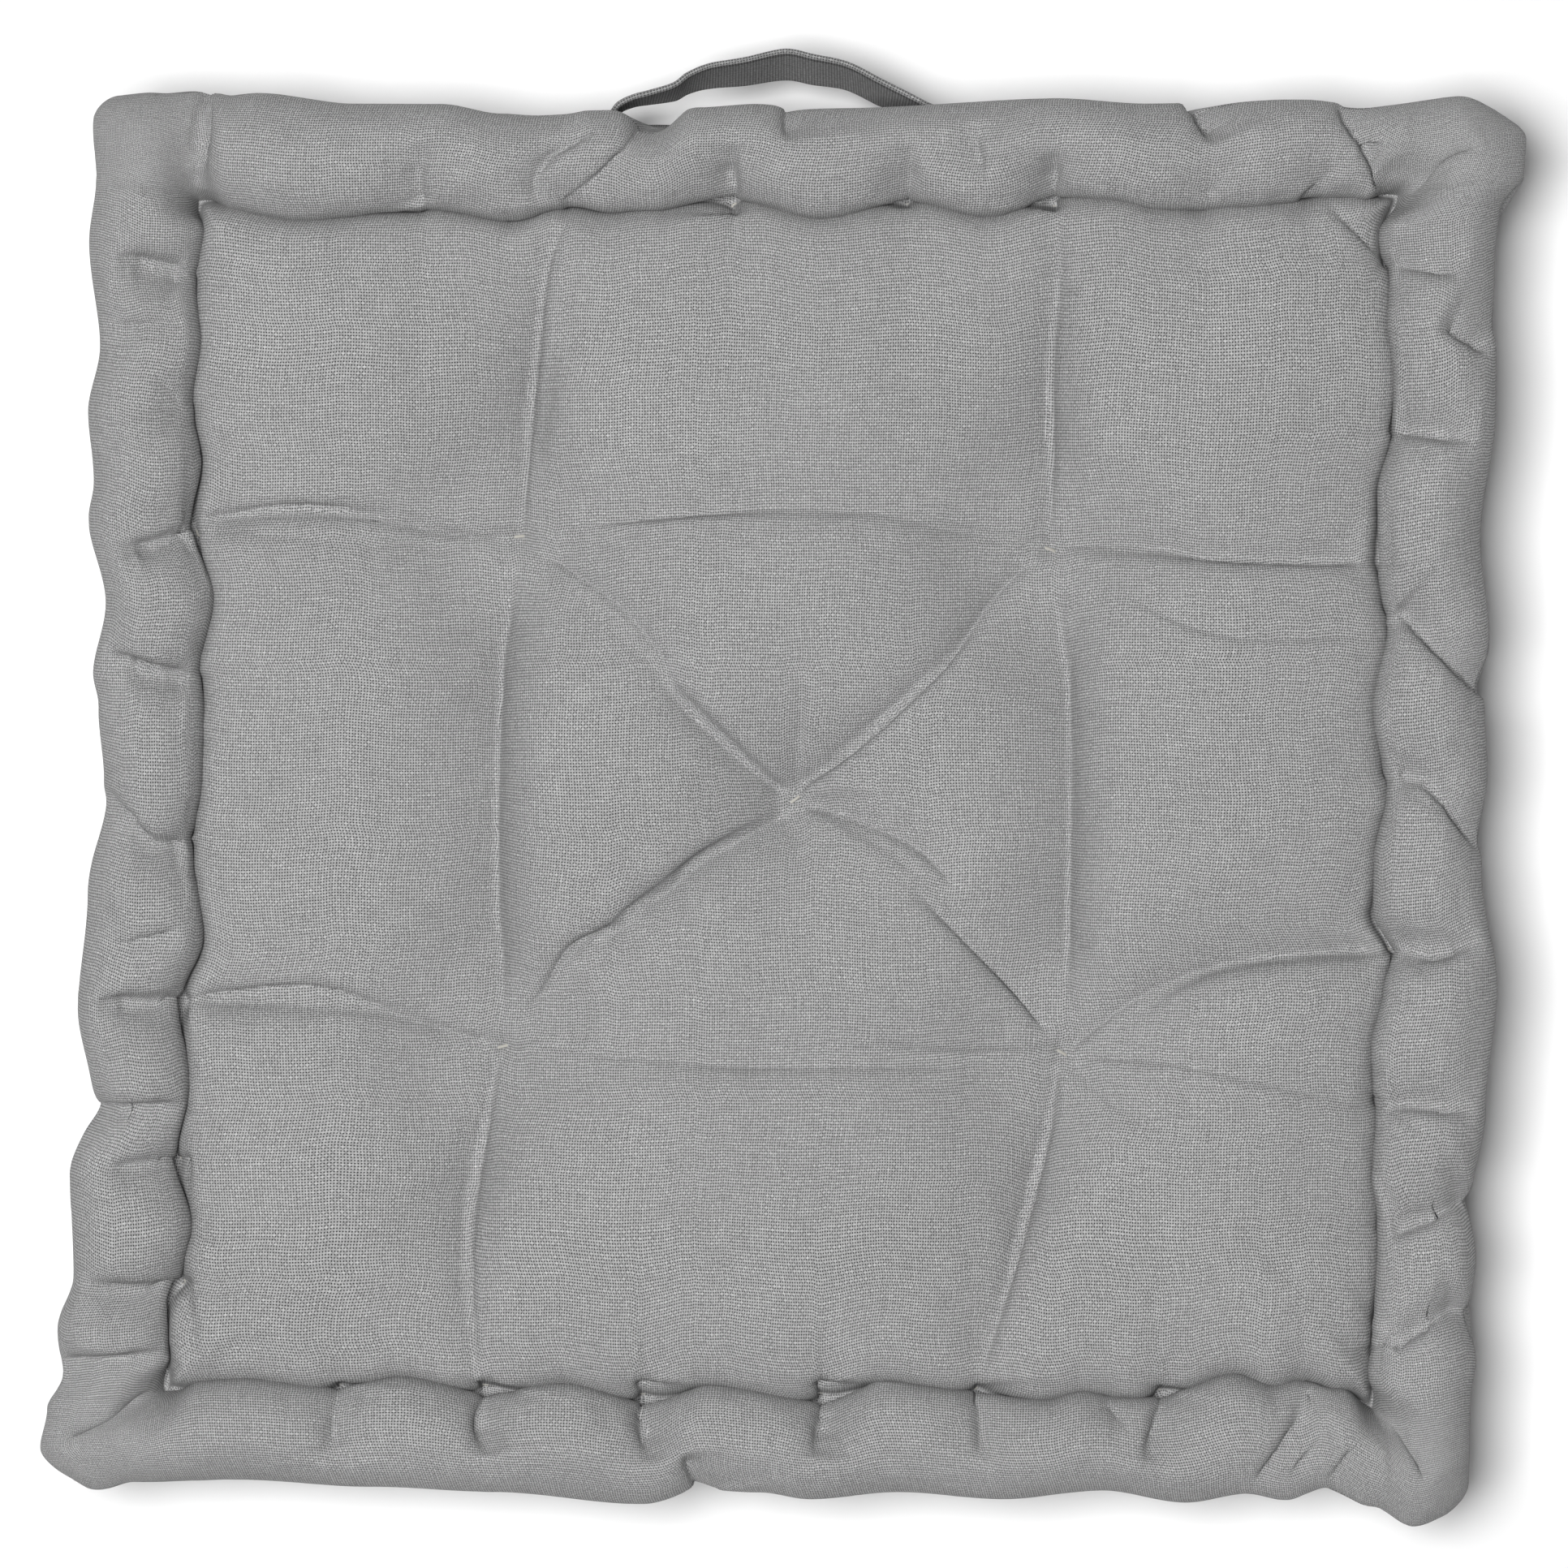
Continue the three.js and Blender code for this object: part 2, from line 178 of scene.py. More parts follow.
SIDES = {
    "right": {
        "lip": 2.0,
        "stitches": [-169, -157, -124, -88, -44, 5, 52, 104, 151, 171],
        "groove": [
            (-200, 165), (-168, 164), (-152, 164.8), (-120, 166.8), (-108, 165), (-88, 166),
            (-72, 164.5), (-56, 168), (-45, 171), (-33, 164.3), (-18, 165.5), (1, 169), (24, 165),
            (50, 169), (66, 166), (86, 166), (106, 171.2), (120, 171), (134, 169), (144, 169.8),
            (158, 167), (170, 171), (200, 172),
        ],
        "outline": [
            (-200, 193), (-165, 194), (-155, 195.5), (-145, 193), (-130, 195.5), (-115, 194),
            (-90, 198), (-55, 201.5), (-20, 197), (5, 199.5), (28, 198), (43, 200.5), (75, 197),
            (110, 201), (150, 201), (163, 202), (174, 209), (186, 209.5), (200, 203),
        ],
    },
    "back": {
        "lip": 2.6,
        "stitches": [-168, -105, -64, -16, 33, 75, 118, 149, 172],
        "groove": [
            (-200, 169.5), (-168, 169), (-140, 164.3), (-104, 167.4), (-80, 163.8), (-64, 168.5),
            (-52, 166), (-40, 167.5), (-16, 170.5), (8, 164.8), (33, 170), (56, 165), (77, 171),
            (90, 170.5), (106, 167.3), (128, 168), (150, 171.2), (168, 170), (200, 170),
        ],
        "outline": [
            (-200, 200), (-180, 202), (-165, 204.5), (-157, 200.5), (-150, 201), (-125, 198),
            (-100, 198), (-82, 195), (-52, 196.5), (-39, 190.5), (-28, 197), (-10, 198),
            (20, 197), (75, 199.5), (100, 198), (135, 199.5), (160, 198.5), (188, 200.5),
            (200, 200),
        ],
    },
    "left": {
        "lip": 2.0,
        "stitches": [-168, -138, -103, -58, -13, 35, 76, 112, 149, 170],
        "groove": [
            (-200, 177), (-168, 177.5), (-144, 177.8), (-136, 174.5), (-122, 171), (-103, 176),
            (-82, 172), (-59, 174.5), (-40, 167.2), (-13, 171.3), (5, 168.3), (24, 167.5),
            (36, 168.8), (56, 164.8), (77, 171.2), (96, 168), (112, 171.2), (130, 168.6),
            (146, 170.2), (160, 167.5), (175, 168), (200, 168),
        ],
        "outline": [
            (-200, 208), (-185, 215), (-172, 213), (-163, 209), (-150, 210), (-135, 205.5),
            (-107, 206.5), (-87, 200), (-60, 204.5), (-28, 202), (5, 197), (25, 199), (35, 200),
            (55, 196.5), (80, 201.5), (90, 200), (110, 201.5), (128, 198), (155, 201),
            (172, 199), (190, 200), (200, 199),
        ],
    },
    "front": {
        "lip": 2.4,
        "stitches": [-168, -130, -88, -43, 8, 52, 90, 105, 146, 166],
        "groove": [
            (-200, 168), (-168, 168), (-148, 166), (-130, 168.7), (-112, 165), (-88, 170),
            (-66, 167), (-43, 172.4), (-24, 167.8), (7, 172.6), (26, 166.5), (52, 169.4),
            (72, 171.8), (82, 169.5), (92, 171.5), (105, 170.5), (126, 164), (138, 167.5),
            (146, 166.4), (160, 169), (170, 173), (200, 173),
        ],
        "outline": [
            (-200, 200), (-193, 200), (-178, 196), (-150, 195), (-120, 197), (-85, 198.5),
            (-43, 202), (-25, 198), (-10, 198.5), (5, 200.5), (30, 198.5), (60, 200.5),
            (88, 198), (112, 201.5), (130, 199), (142, 201), (153, 198), (166, 203),
            (180, 208.5), (200, 203),
        ],
    },
}


def stitch_pull(side, along, spread):
    """1 at each stitch of a side, falling to 0 between stitches."""
    pull = np.zeros_like(along, dtype=float)
    for place in SIDES[side]["stitches"]:
        pull = np.maximum(pull, np.exp(-np.abs((along - place) / spread) ** 1.5))
    return pull


def groove_reach(side, along):
    """Reach of the foot of the groove, which lies under the roll's bulging inner flank."""
    return ease_through(SIDES[side]["groove"], along) + 3.2 - 1.2 * stitch_pull(side, along, 6)


def from_side(side, reach, along):
    """Plan point given by its side, its reach from the middle and its place along the side."""
    return {
        "right": (reach, along),
        "back": (along, reach),
        "left": (-reach, along),
        "front": (along, -reach),
    }[side]


def side_reach(side, reach, along):
    """Moves a reach of the plain square plan to the real one of that side."""
    groove = groove_reach(side, along)
    outline = ease_through(SIDES[side]["outline"], along)
    inside = reach + smoothstep(110, FIELD_REACH, reach) * (groove - FIELD_REACH)
    outside = groove + (reach - FIELD_REACH) / ROLL_WIDTH * (outline - groove)
    return np.where(reach <= FIELD_REACH, inside, outside)


def side_mix(x, y, value):
    """Mixes a value of each side by how near a point is to that side."""
    beside = smoothstep(-10, 10, np.abs(x) - np.abs(y))
    sideways = np.where(x > 0, value("right", y), value("left", y))
    lengthways = np.where(y > 0, value("back", x), value("front", x))
    return beside * sideways + (1 - beside) * lengthways


# ---- Plan and height of the upper half ----

CORNER_RADII = {"back_left": 7.0, "back_right": 15.0, "front_left": 17.0, "front_right": 9.0}


def round_corner(x, y):
    """Rounds the square plan's corners, more towards the outside of the roll."""
    reach = np.maximum(np.abs(x), np.abs(y))
    back = np.where(x < 0, CORNER_RADII["back_left"], CORNER_RADII["back_right"])
    front = np.where(x < 0, CORNER_RADII["front_left"], CORNER_RADII["front_right"])
    radius = np.where(y > 0, back, front) * np.clip((reach - FIELD_REACH) / ROLL_WIDTH, 0, 1)
    centre = reach - radius
    dx = np.abs(x) - centre
    dy = np.abs(y) - centre
    length = np.maximum(np.hypot(dx, dy), 1e-6)
    corner = (dx > 0) & (dy > 0) & (radius > 0)
    px = np.where(corner, centre + dx / length * radius, np.abs(x))
    py = np.where(corner, centre + dy / length * radius, np.abs(y))
    return np.sign(x) * px, np.sign(y) * py


def real_plan(x, y):
    """Moves a point of the plain square plan to the cushion's own plan."""
    x, y = round_corner(x, y)
    far_x = np.where(x > 0, side_reach("right", np.abs(x), y), side_reach("left", np.abs(x), y))
    far_y = np.where(y > 0, side_reach("back", np.abs(y), x), side_reach("front", np.abs(y), x))
    return np.sign(x) * far_x, np.sign(y) * far_y


def ring_reach(x, y):
    """Reach from the middle. Round a corner it grows softly, so the rolls meet without an edge."""
    far = np.maximum(np.abs(x), np.abs(y))
    near = np.minimum(np.abs(x), np.abs(y))
    beyond = np.maximum(far - FIELD_REACH, 1e-6)
    share = np.clip((near - FIELD_REACH) / beyond, 0, 1)
    return far + CORNER_SOFTNESS * beyond * share**2 * (1 - beyond / ROLL_WIDTH)


def groove_pinch(x, y):
    """1 where a stitch pulls the groove down, 0 between the stitches."""
    return side_mix(x, y, lambda side, along: stitch_pull(side, along, 8))


def across_roll(reach):
    """-1 at a roll's groove, 0 on its top and 1 at its seam."""
    return np.clip((reach - ROLL_CENTRE) / (ROLL_WIDTH / 2), -1, 1)


# The roll's inner half from its foot to its top: turn in degrees, distance outwards from the
# foot, and height. The outer half is rounded down to the seam.
INNER_FLANK = [
    (0, 0.0, GROOVE_FOOT), (15, -2.6, 57.4), (30, -3.3, 63.0), (45, -2.0, 68.2),
    (60, 2.0, 72.6), (75, 8.2, 75.6), (90, ROLL_WIDTH / 2, RIM_TOP + CROWN_RISE),
]


def inner_flank(across, column):
    """A column of the inner flank at a place across the roll."""
    turn = np.degrees(np.arccos(-np.clip(across, -1, 1)))
    stops = np.array(INNER_FLANK)
    fine = smooth_path(np.column_stack([stops[:, 0], stops[:, column], stops[:, 0] * 0]), 91)
    return np.interp(turn, fine[:, 0], fine[:, 1])


def roll_height(reach, x, y):
    """Height over a roll, pinched at the stitches."""
    across = across_roll(reach)
    fall = (1 - np.abs(across) ** OUTER_ROUNDNESS) ** (1 / OUTER_ROUNDNESS)
    outer = RIM_TOP + CROWN_RISE * fall
    height = np.where(across < 0, inner_flank(across, 2), outer)
    return height - 3.0 * groove_pinch(x, y) * smoothstep(0.9, -0.5, across)


def field_height(reach, x, y):
    """The quilted field: full between the ties, low beside the groove and at each tie."""
    pinch = groove_pinch(x, y)
    foot = GROOVE_FOOT - 2.0 * pinch
    beside = FIELD_FOOT - 2.5 * pinch
    lip = side_mix(x, y, lambda side, along: SIDES[side]["lip"])
    inward = np.maximum(FIELD_REACH - reach, 0)
    height = PILLOW_TOP + (beside - PILLOW_TOP) * np.exp(-inward / FIELD_SLOPE)
    height = height + (foot - beside) * np.exp(-inward / lip)
    for tuft in TUFTS.values():
        distance = np.hypot(x - tuft[0], y - tuft[1])
        height = height - (height - TUFT_TOP) * np.exp(-distance / DIMPLE_SPREAD)
    return height


def over_roll(beyond):
    """Reach on the plain plan of cloth that lies beyond the groove, laid over the roll."""
    share = np.clip(beyond / ROLL_CUT, 0, 1)
    angle = np.interp(share, [0, 0.6, 1], [0, math.pi / 2, math.pi])
    return ROLL_CENTRE - ROLL_WIDTH / 2 * np.cos(angle)


def cut_to_plan(cut, other):
    """From a place on the flat cloth to a reach on the plain square plan.

    Beyond the groove the cloth follows the roll over its top. Where two rolls meet at a corner
    it is gathered evenly up to their mitre.
    """
    size = np.abs(cut)
    beyond = size - FIELD_CUT
    further = np.maximum(np.abs(other) - FIELD_CUT, 1e-6)
    in_mitre = FIELD_REACH + (over_roll(further) - FIELD_REACH) * beyond / further
    roll = np.where(beyond >= further, over_roll(beyond), in_mitre)
    return np.sign(cut) * np.where(beyond <= 0, size * FIELD_REACH / FIELD_CUT, roll)


TIE_GATHER = 0.25  # share of its distance that cloth close to a tie is drawn in
TIE_GATHER_SPREAD = 20.0


def drawn_to_ties(x, y):
    """Cloth gathered in towards each tie, so that its threads bend towards the tie."""
    for tuft in TUFTS.values():
        dx = x - tuft[0]
        dy = y - tuft[1]
        pull = TIE_GATHER * np.exp(-((dx**2 + dy**2) / TIE_GATHER_SPREAD**2))
        x = x - dx * pull
        y = y - dy * pull
    return x, y


def bulge(place, other):
    """How far a roll's inner flank stands outwards of a plain ellipse, along one axis."""
    across = across_roll(np.abs(place))
    extra = inner_flank(across, 1) - ROLL_WIDTH / 2 * (1 + across)
    on_flank = (across < 0) & (np.abs(place) > FIELD_REACH)
    off_corner = smoothstep(0, 10, FIELD_REACH - np.abs(other))
    return np.sign(place) * np.where(on_flank, extra, 0) * off_corner


def leaning_inwards(x, y, px, py):
    """Lets the roll's inner flank bulge over the groove, less at its stitches."""
    firm = 1 - 0.1 * groove_pinch(x, y)
    return px + bulge(x, y) * firm, py + bulge(y, x) * firm


def upper_surface(cut_x, cut_y):
    """Smooth surface of the top panel over its flat cloth."""
    x = cut_to_plan(cut_x, cut_y)
    y = cut_to_plan(cut_y, cut_x)
    reach = ring_reach(x, y)
    px, py = drawn_to_ties(*real_plan(x, y))
    on_roll = reach > FIELD_REACH
    height = np.where(on_roll, roll_height(reach, x, y), field_height(reach, px, py))
    px, py = leaning_inwards(x, y, px, py)
    return np.stack([px, py, height], axis=-1)


# ---- Creases ----

# A crease's measures across its line, in its widths.
LEFT_FALL = 3.0
RIGHT_FALL = 0.8
PULL_FALL = 4
CREASE_MARGIN = 12


def crease_line(points):
    """A smooth line of short pieces through the given points."""
    points = np.array(points, float)
    return points if len(points) == 2 else curve_through(with_run_out(points), 4)


def nearest_on_line(spots, line):
    """Offset of each spot from the line, its distance, its place as a share of the line's
    length, and whether it lies on the left."""
    lengths = lengths_along(line)
    distance = np.full(len(spots), 1e9)
    place = np.zeros(len(spots))
    offset = np.zeros(spots.shape)
    left = np.zeros(len(spots), bool)
    for a, b, start in zip(line[:-1], line[1:], lengths[:-1]):
        step = b - a
        share = np.clip(((spots - a) @ step) / (step @ step), 0, 1)
        away = spots - (a + share[:, None] * step)
        gap = np.linalg.norm(away, axis=1)
        closer = gap < distance
        distance = np.where(closer, gap, distance)
        place = np.where(closer, start + share * np.linalg.norm(step), place)
        offset = np.where(closer[:, None], away, offset)
        left = np.where(closer, step[0] * away[:, 1] - step[1] * away[:, 0] > 0, left)
    return offset, distance, place / lengths[-1], left


def crease(plan, points, depth, width, taper):
    """Depth of one crease over the plan, and how far it draws the cloth sideways into it.

    It is steep on the right of its line and gentle on the left. taper gives the shares of its
    length over which it starts and fades out.
    """
    line = crease_line(points)
    margin = CREASE_MARGIN * width
    near = np.all((plan > line.min(axis=0) - margin) & (plan < line.max(axis=0) + margin), axis=-1)
    offset, distance, place, left = nearest_on_line(plan[near], line)
    strength = smoothstep(-0.02, max(taper[0], 0.01), place) * smoothstep(1.02, 1 - taper[1], place)
    sunk = np.zeros(plan.shape[:-1])
    fall = np.where(left, LEFT_FALL * width, RIGHT_FALL * width)
    sunk[near] = depth * strength * np.exp(-distance / fall)
    beside = (1 - np.exp(-distance / 0.5)) * np.exp(-distance / (PULL_FALL * width))
    pull = np.maximum(min(0.3 * depth, 1.0) * strength * beside, 0) * np.where(left, 0.4, 1.0)
    drawn = np.zeros(plan.shape)
    drawn[near] = -offset / np.maximum(distance, 1e-6)[:, None] * pull[:, None]
    return sunk, drawn


def together(depths):
    """Depth where several creases meet: little more than the deepest of them."""
    total = sum(np.maximum(depth, 0) ** 3 for depth in depths) ** (1 / 3)
    return total + sum(np.minimum(depth, 0) for depth in depths)


# Each crease: points in plan, depth, width, and the shares over which it starts and fades.
# The valleys, and a broad fold under each of the rolls' creases, are sunk before the cloth is
# settled. All other creases come after it.
VALLEYS = [
    # along the threads, through the ties, from groove to groove
    ([(-90, -170), (-92, -128), (-88, -96), (-83, -71), (-84, -36), (-84, 0), (-83, 36), (-78, 74),
      (-76, 97), (-73, 125), (-70, 150), (-64, 170)], 19.0, 9.5, (0.2, 0.2)),
    ([(53, -170), (61, -140), (71, -104), (77, -73), (79, -36), (80, 0), (79, 35), (74, 71),
      (74, 95), (74, 125), (76, 150), (75, 170)], 18.0, 9.5, (0.2, 0.2)),
    ([(-172, 79), (-121, 81), (-78, 75), (-18, 81), (28, 80), (74, 71), (120, 68), (170, 67)],
     6.5, 8.0, (0.02, 0.02)),
    ([(-172, -57), (-110, -62), (-83, -71), (0, -77), (77, -73), (120, -50), (170, -44)],
     6.5, 8.0, (0.02, 0.02)),
    # from the back left corner of the groove straight to the back
    ([(-169, 174), (-168, 190), (-166, 207)], 5.0, 4.0, (0.05, 0.02)),
]
for middle, end in (
    [(-29, 27), (-78, 74)], [(38, 32), (74, 71)], [(-45, -31), (-82, -71)], [(40, -27), (77, -73)]
):
    VALLEYS.append(([(0, 0), middle, end], 4.5, 5.0, (0.05, 0.05)))

FIELD_CREASES = [
    # diagonals between the ties, each made of two folds that pass one another
    ([(-72, 70), (-66, 65), (-50, 53), (-41, 42), (-29, 26)], 5.0, 2.2, (0.1, 0.35)),
    ([(0, 0), (-10, 8), (-20, 17), (-34, 30), (-41, 37)], 5.0, 2.2, (0.05, 0.35)),
    ([(1, 1), (14, 11), (24, 20), (33, 28), (44, 41)], 5.4, 2.0, (0.05, 0.3)),
    ([(28, 21), (40, 33), (51, 46), (60, 58), (70, 68)], 4.8, 2.2, (0.35, 0.1)),
    ([(-1, -3), (-13, -10), (-27, -18), (-38, -27), (-54, -36)], 5.4, 2.1, (0.05, 0.3)),
    ([(-33, -27), (-52, -38), (-64, -43), (-71, -53), (-79, -66)], 5.1, 2.2, (0.4, 0.2)),
    ([(3, -2), (19, -8), (31, -13), (40, -19), (50, -30)], 5.2, 2.2, (0.05, 0.35)),
    ([(28, -22), (40, -32), (51, -43), (63, -55), (74, -69)], 4.0, 2.2, (0.35, 0.15)),
    ([(2, 1), (3, 21), (3, 46)], 3.6, 1.9, (0.05, 0.8)),
    ([(-2, 2), (-17, 5), (-38, 7)], 2.7, 2.6, (0.05, 0.8)),
    ([(3, 0), (20, 2), (40, 3)], -1.3, 1.4, (0.05, 0.8)),
    ([(1, -3), (1, -14), (-1, -30)], 2.2, 3.3, (0.05, 0.8)),
    # along the threads between the ties
    ([(-75, 74.5), (-52, 76), (-27, 77.5), (10, 79)], -1.4, 1.2, (0.03, 0.6)),
    ([(-62, 77), (-41, 79), (-18, 81), (0, 81.5)], 2.0, 2.0, (0.4, 0.5)),
    ([(71, 72), (60, 75), (40, 77.5), (20, 79)], 2.2, 1.8, (0.05, 0.6)),
    ([(70, 68), (50, 71), (28, 74)], 1.1, 2.0, (0.1, 0.7)),
    ([(-80, -71), (-66, -74), (-45, -75), (-20, -77)], -1.1, 1.4, (0.05, 0.7)),
    ([(-78, -67), (-62, -68), (-48, -70)], 1.8, 2.0, (0.1, 0.6)),
    ([(74, -72), (50, -73), (25, -71), (8, -70)], 2.0, 2.0, (0.05, 0.5)),
    ([(72, -77), (50, -81), (20, -81)], 1.4, 2.0, (0.1, 0.5)),
    ([(-83, -69), (-84, -36), (-84, 5), (-82, 45), (-78, 72)], 0.7, 3.0, (0.05, 0.1)),
    ([(77, -70), (79, -36), (79, 0), (78, 35), (74, 68)], 0.6, 3.0, (0.05, 0.1)),
    # from the ties to the groove
    ([(-80, 74), (-96, 76), (-121, 81), (-144, 83), (-171, 79)], 3.6, 1.9, (0.05, 0.15)),
    ([(-84, 71), (-104, 72), (-130, 74), (-168, 76)], 2.5, 1.9, (0.1, 0.3)),
    ([(-82, 73), (-98, 74), (-118, 77.5)], -1.0, 1.2, (0.05, 0.5)),
    ([(-77, 77), (-76, 97), (-73, 125), (-70, 150), (-64, 166)], 2.2, 1.7, (0.05, 0.1)),
    ([(-72, 90), (-69, 112), (-66, 135)], 1.4, 2.4, (0.4, 0.5)),
    ([(73, 73), (74, 95), (74, 125), (76, 150), (75, 168)], 1.8, 1.6, (0.05, 0.1)),
    ([(76, 71), (97, 71), (120, 68), (145, 67), (168, 67)], 2.9, 2.0, (0.05, 0.2)),
    ([(84, 66), (104, 52), (128, 45), (168, 46)], 2.0, 2.2, (0.3, 0.2)),
    ([(-85, -70), (-110, -62), (-137, -54), (-171, -57)], 3.4, 2.0, (0.05, 0.1)),
    ([(-86, -73), (-112, -70), (-140, -66)], 1.6, 2.2, (0.1, 0.5)),
    ([(-90, -167), (-92, -128), (-88, -96), (-84, -74)], 2.6, 2.0, (0.1, 0.05)),
    ([(79, -72), (97, -59), (120, -49), (145, -45), (169, -44)], 3.4, 2.0, (0.05, 0.1)),
    ([(80, -74), (108, -76), (135, -82), (166, -88)], 2.5, 2.0, (0.1, 0.2)),
    ([(79, -77), (90, -87), (106, -99)], 1.8, 2.2, (0.05, 0.6)),
    ([(53, -166), (61, -140), (71, -104), (76, -76)], 3.0, 1.9, (0.1, 0.05)),
    # from the field's corners towards the groove
    ([(150, 171), (158, 163), (170, 152)], 3.4, 2.0, (0.3, 0.3)),
    ([(-120, 118), (-146, 144), (-165, 165)], 1.1, 5.0, (0.4, 0.2)),
    ([(-122, -118), (-146, -142), (-166, -164)], 1.1, 5.0, (0.4, 0.2)),
    ([(122, -120), (146, -143), (164, -164)], 1.1, 5.0, (0.4, 0.2)),
]

ROLL_CREASES = [
    # back roll
    ([(-39, 199), (-46, 187), (-56, 175), (-66, 168)], 4.2, 2.4, (0.3, 0.3)),
    ([(-72, 168), (-72, 176), (-66, 184), (-56, 190)], 4.4, 2.2, (0.1, 0.4)),
    ([(-16, 167), (-17, 176), (-16, 186)], 6.5, 2.6, (0.05, 0.6)),
    ([(54, 173), (53, 182), (51, 192)], 4.4, 2.6, (0.4, 0.4)),
    ([(75, 168), (75, 175), (75, 184)], 6.0, 2.4, (0.05, 0.6)),
    ([(112, 199), (116, 193), (120, 185)], 6.5, 2.2, (0.1, 0.5)),
    ([(-2, 199), (-2, 192), (-1, 186)], 4.4, 2.2, (0.1, 0.5)),
    ([(155, 198), (161, 187), (168, 172)], 6.5, 2.6, (0.2, 0.1)),
    ([(-105, 168), (-106, 176), (-104, 186)], 4.4, 3.0, (0.05, 0.6)),
    ([(33, 168), (34, 176), (35, 184)], 4.4, 2.8, (0.05, 0.6)),
    # left roll
    ([(-173, 150), (-182, 152), (-193, 154)], 6.0, 2.6, (0.05, 0.5)),
    ([(-172, 135), (-182, 135), (-196, 134)], 3.4, 3.0, (0.2, 0.3)),
    ([(-171, 76), (-181, 73), (-193, 70)], 6.5, 2.6, (0.05, 0.5)),
    ([(-172, 35), (-182, 36), (-197, 42)], 6.5, 2.6, (0.05, 0.4)),
    ([(-172, -13), (-183, -12), (-197, 4)], 5.2, 3.0, (0.05, 0.4)),
    ([(-173, -37), (-184, -40), (-197, -42)], 3.4, 3.0, (0.2, 0.4)),
    ([(-173, -57), (-184, -58), (-200, -58)], 6.5, 2.6, (0.05, 0.4)),
    ([(-173, -87), (-186, -88), (-202, -87)], 5.2, 3.0, (0.2, 0.1)),
    ([(-172, -103), (-184, -104), (-200, -106)], 5.2, 3.0, (0.05, 0.5)),
    ([(-172, -138), (-185, -140), (-203, -138)], 6.0, 3.0, (0.05, 0.3)),
    ([(-178, -158), (-192, -160), (-209, -160)], 6.0, 2.6, (0.3, 0.05)),
    # right roll
    ([(171, 151), (180, 150), (192, 148)], 4.4, 3.0, (0.05, 0.5)),
    ([(183, 134), (190, 131), (199, 126)], 5.2, 2.6, (0.3, 0.3)),
    ([(171, 104), (181, 103), (195, 101)], 5.2, 3.0, (0.05, 0.5)),
    ([(171, 52), (180, 45), (190, 36), (200, 27)], 6.5, 2.9, (0.05, 0.2)),
    ([(171, 5), (182, 2), (198, -18)], 5.2, 3.0, (0.05, 0.3)),
    ([(171, -44), (182, -45), (198, -40)], 6.0, 3.0, (0.05, 0.5)),
    ([(170, -88), (180, -88), (196, -90)], 5.2, 3.0, (0.05, 0.5)),
    ([(170, -124), (182, -120), (196, -114)], 6.0, 3.0, (0.05, 0.2)),
    ([(170, -157), (181, -150), (194, -145)], 6.0, 2.9, (0.05, 0.2)),
    # front roll
    ([(-88, -167), (-89, -177), (-87, -188)], 6.5, 2.8, (0.05, 0.5)),
    ([(-130, -167), (-131, -178), (-132, -190)], 4.4, 3.0, (0.05, 0.5)),
    ([(-43, -167), (-43, -177), (-40, -190)], 6.5, 2.8, (0.05, 0.5)),
    ([(-31, -186), (-29, -193), (-27, -200)], 5.2, 2.2, (0.4, 0.05)),
    ([(8, -167), (8, -177), (6, -188)], 6.5, 2.8, (0.05, 0.5)),
    ([(52, -168), (53, -178), (54, -190)], 4.4, 3.0, (0.05, 0.5)),
    ([(105, -168), (103, -178), (100, -190)], 5.2, 3.0, (0.05, 0.5)),
    ([(146, -172), (139, -183), (131, -196)], 3.6, 2.4, (0.2, 0.2)),
    ([(153, -176), (147, -185), (141, -195)], 3.2, 2.2, (0.3, 0.3)),
    ([(160, -184), (156, -189), (152, -196)], 3.0, 2.1, (0.3, 0.3)),
]

CORNER_CREASES = [
    ([(-168, 179), (-167, 190), (-165, 205)], 5.0, 2.6, (0.15, 0.05)),
    ([(175, 171), (185, 180), (196, 186)], 4.5, 2.4, (0.3, 0.3)),
    ([(-180, -168), (-194, -176), (-208, -183)], 4.5, 2.4, (0.3, 0.1)),
    ([(168, -175), (172, -182), (180, -195)], 4.0, 2.4, (0.3, 0.2)),
]


PUCKERS_PER_SIDE = 38


def small_puckers(seed):
    """Short gathers on both sides of the groove, close together and irregular."""
    draw = np.random.default_rng(seed)
    creases = []
    for side in SIDES:
        for along in np.linspace(-154, 154, PUCKERS_PER_SIDE):
            along = along + draw.uniform(-3, 3)
            start = float(groove_reach(side, along)) - 1
            inward = draw.random() < 0.5
            length = draw.uniform(5, 13) * (-1 if inward else 1)
            end = from_side(side, start + length, along + draw.uniform(-4, 4))
            points = [from_side(side, start, along), end]
            creases.append((points, draw.uniform(0.4, 1.2), draw.uniform(1.2, 2.2), (0.02, 0.7)))
    return creases


def stitch_fans(seed):
    """Folds that spread from each stitch over the roll and a little over the field."""
    draw = np.random.default_rng(seed)
    creases = []
    for side in SIDES:
        for along in SIDES[side]["stitches"][1:-1]:
            start = float(groove_reach(side, np.float64(along)))
            for lean in (-0.8, 0.0, 0.8):
                lean = lean + draw.uniform(-0.35, 0.35)
                length = draw.uniform(8, 20) * (-0.5 if draw.random() < 0.3 else 1)
                points = [
                    from_side(side, start, along + lean),
                    from_side(side, start + length, along + lean * abs(length)),
                ]
                creases.append((points, draw.uniform(1.5, 3.2), draw.uniform(1.2, 2.2), (0.02, 0.75)))
    return creases


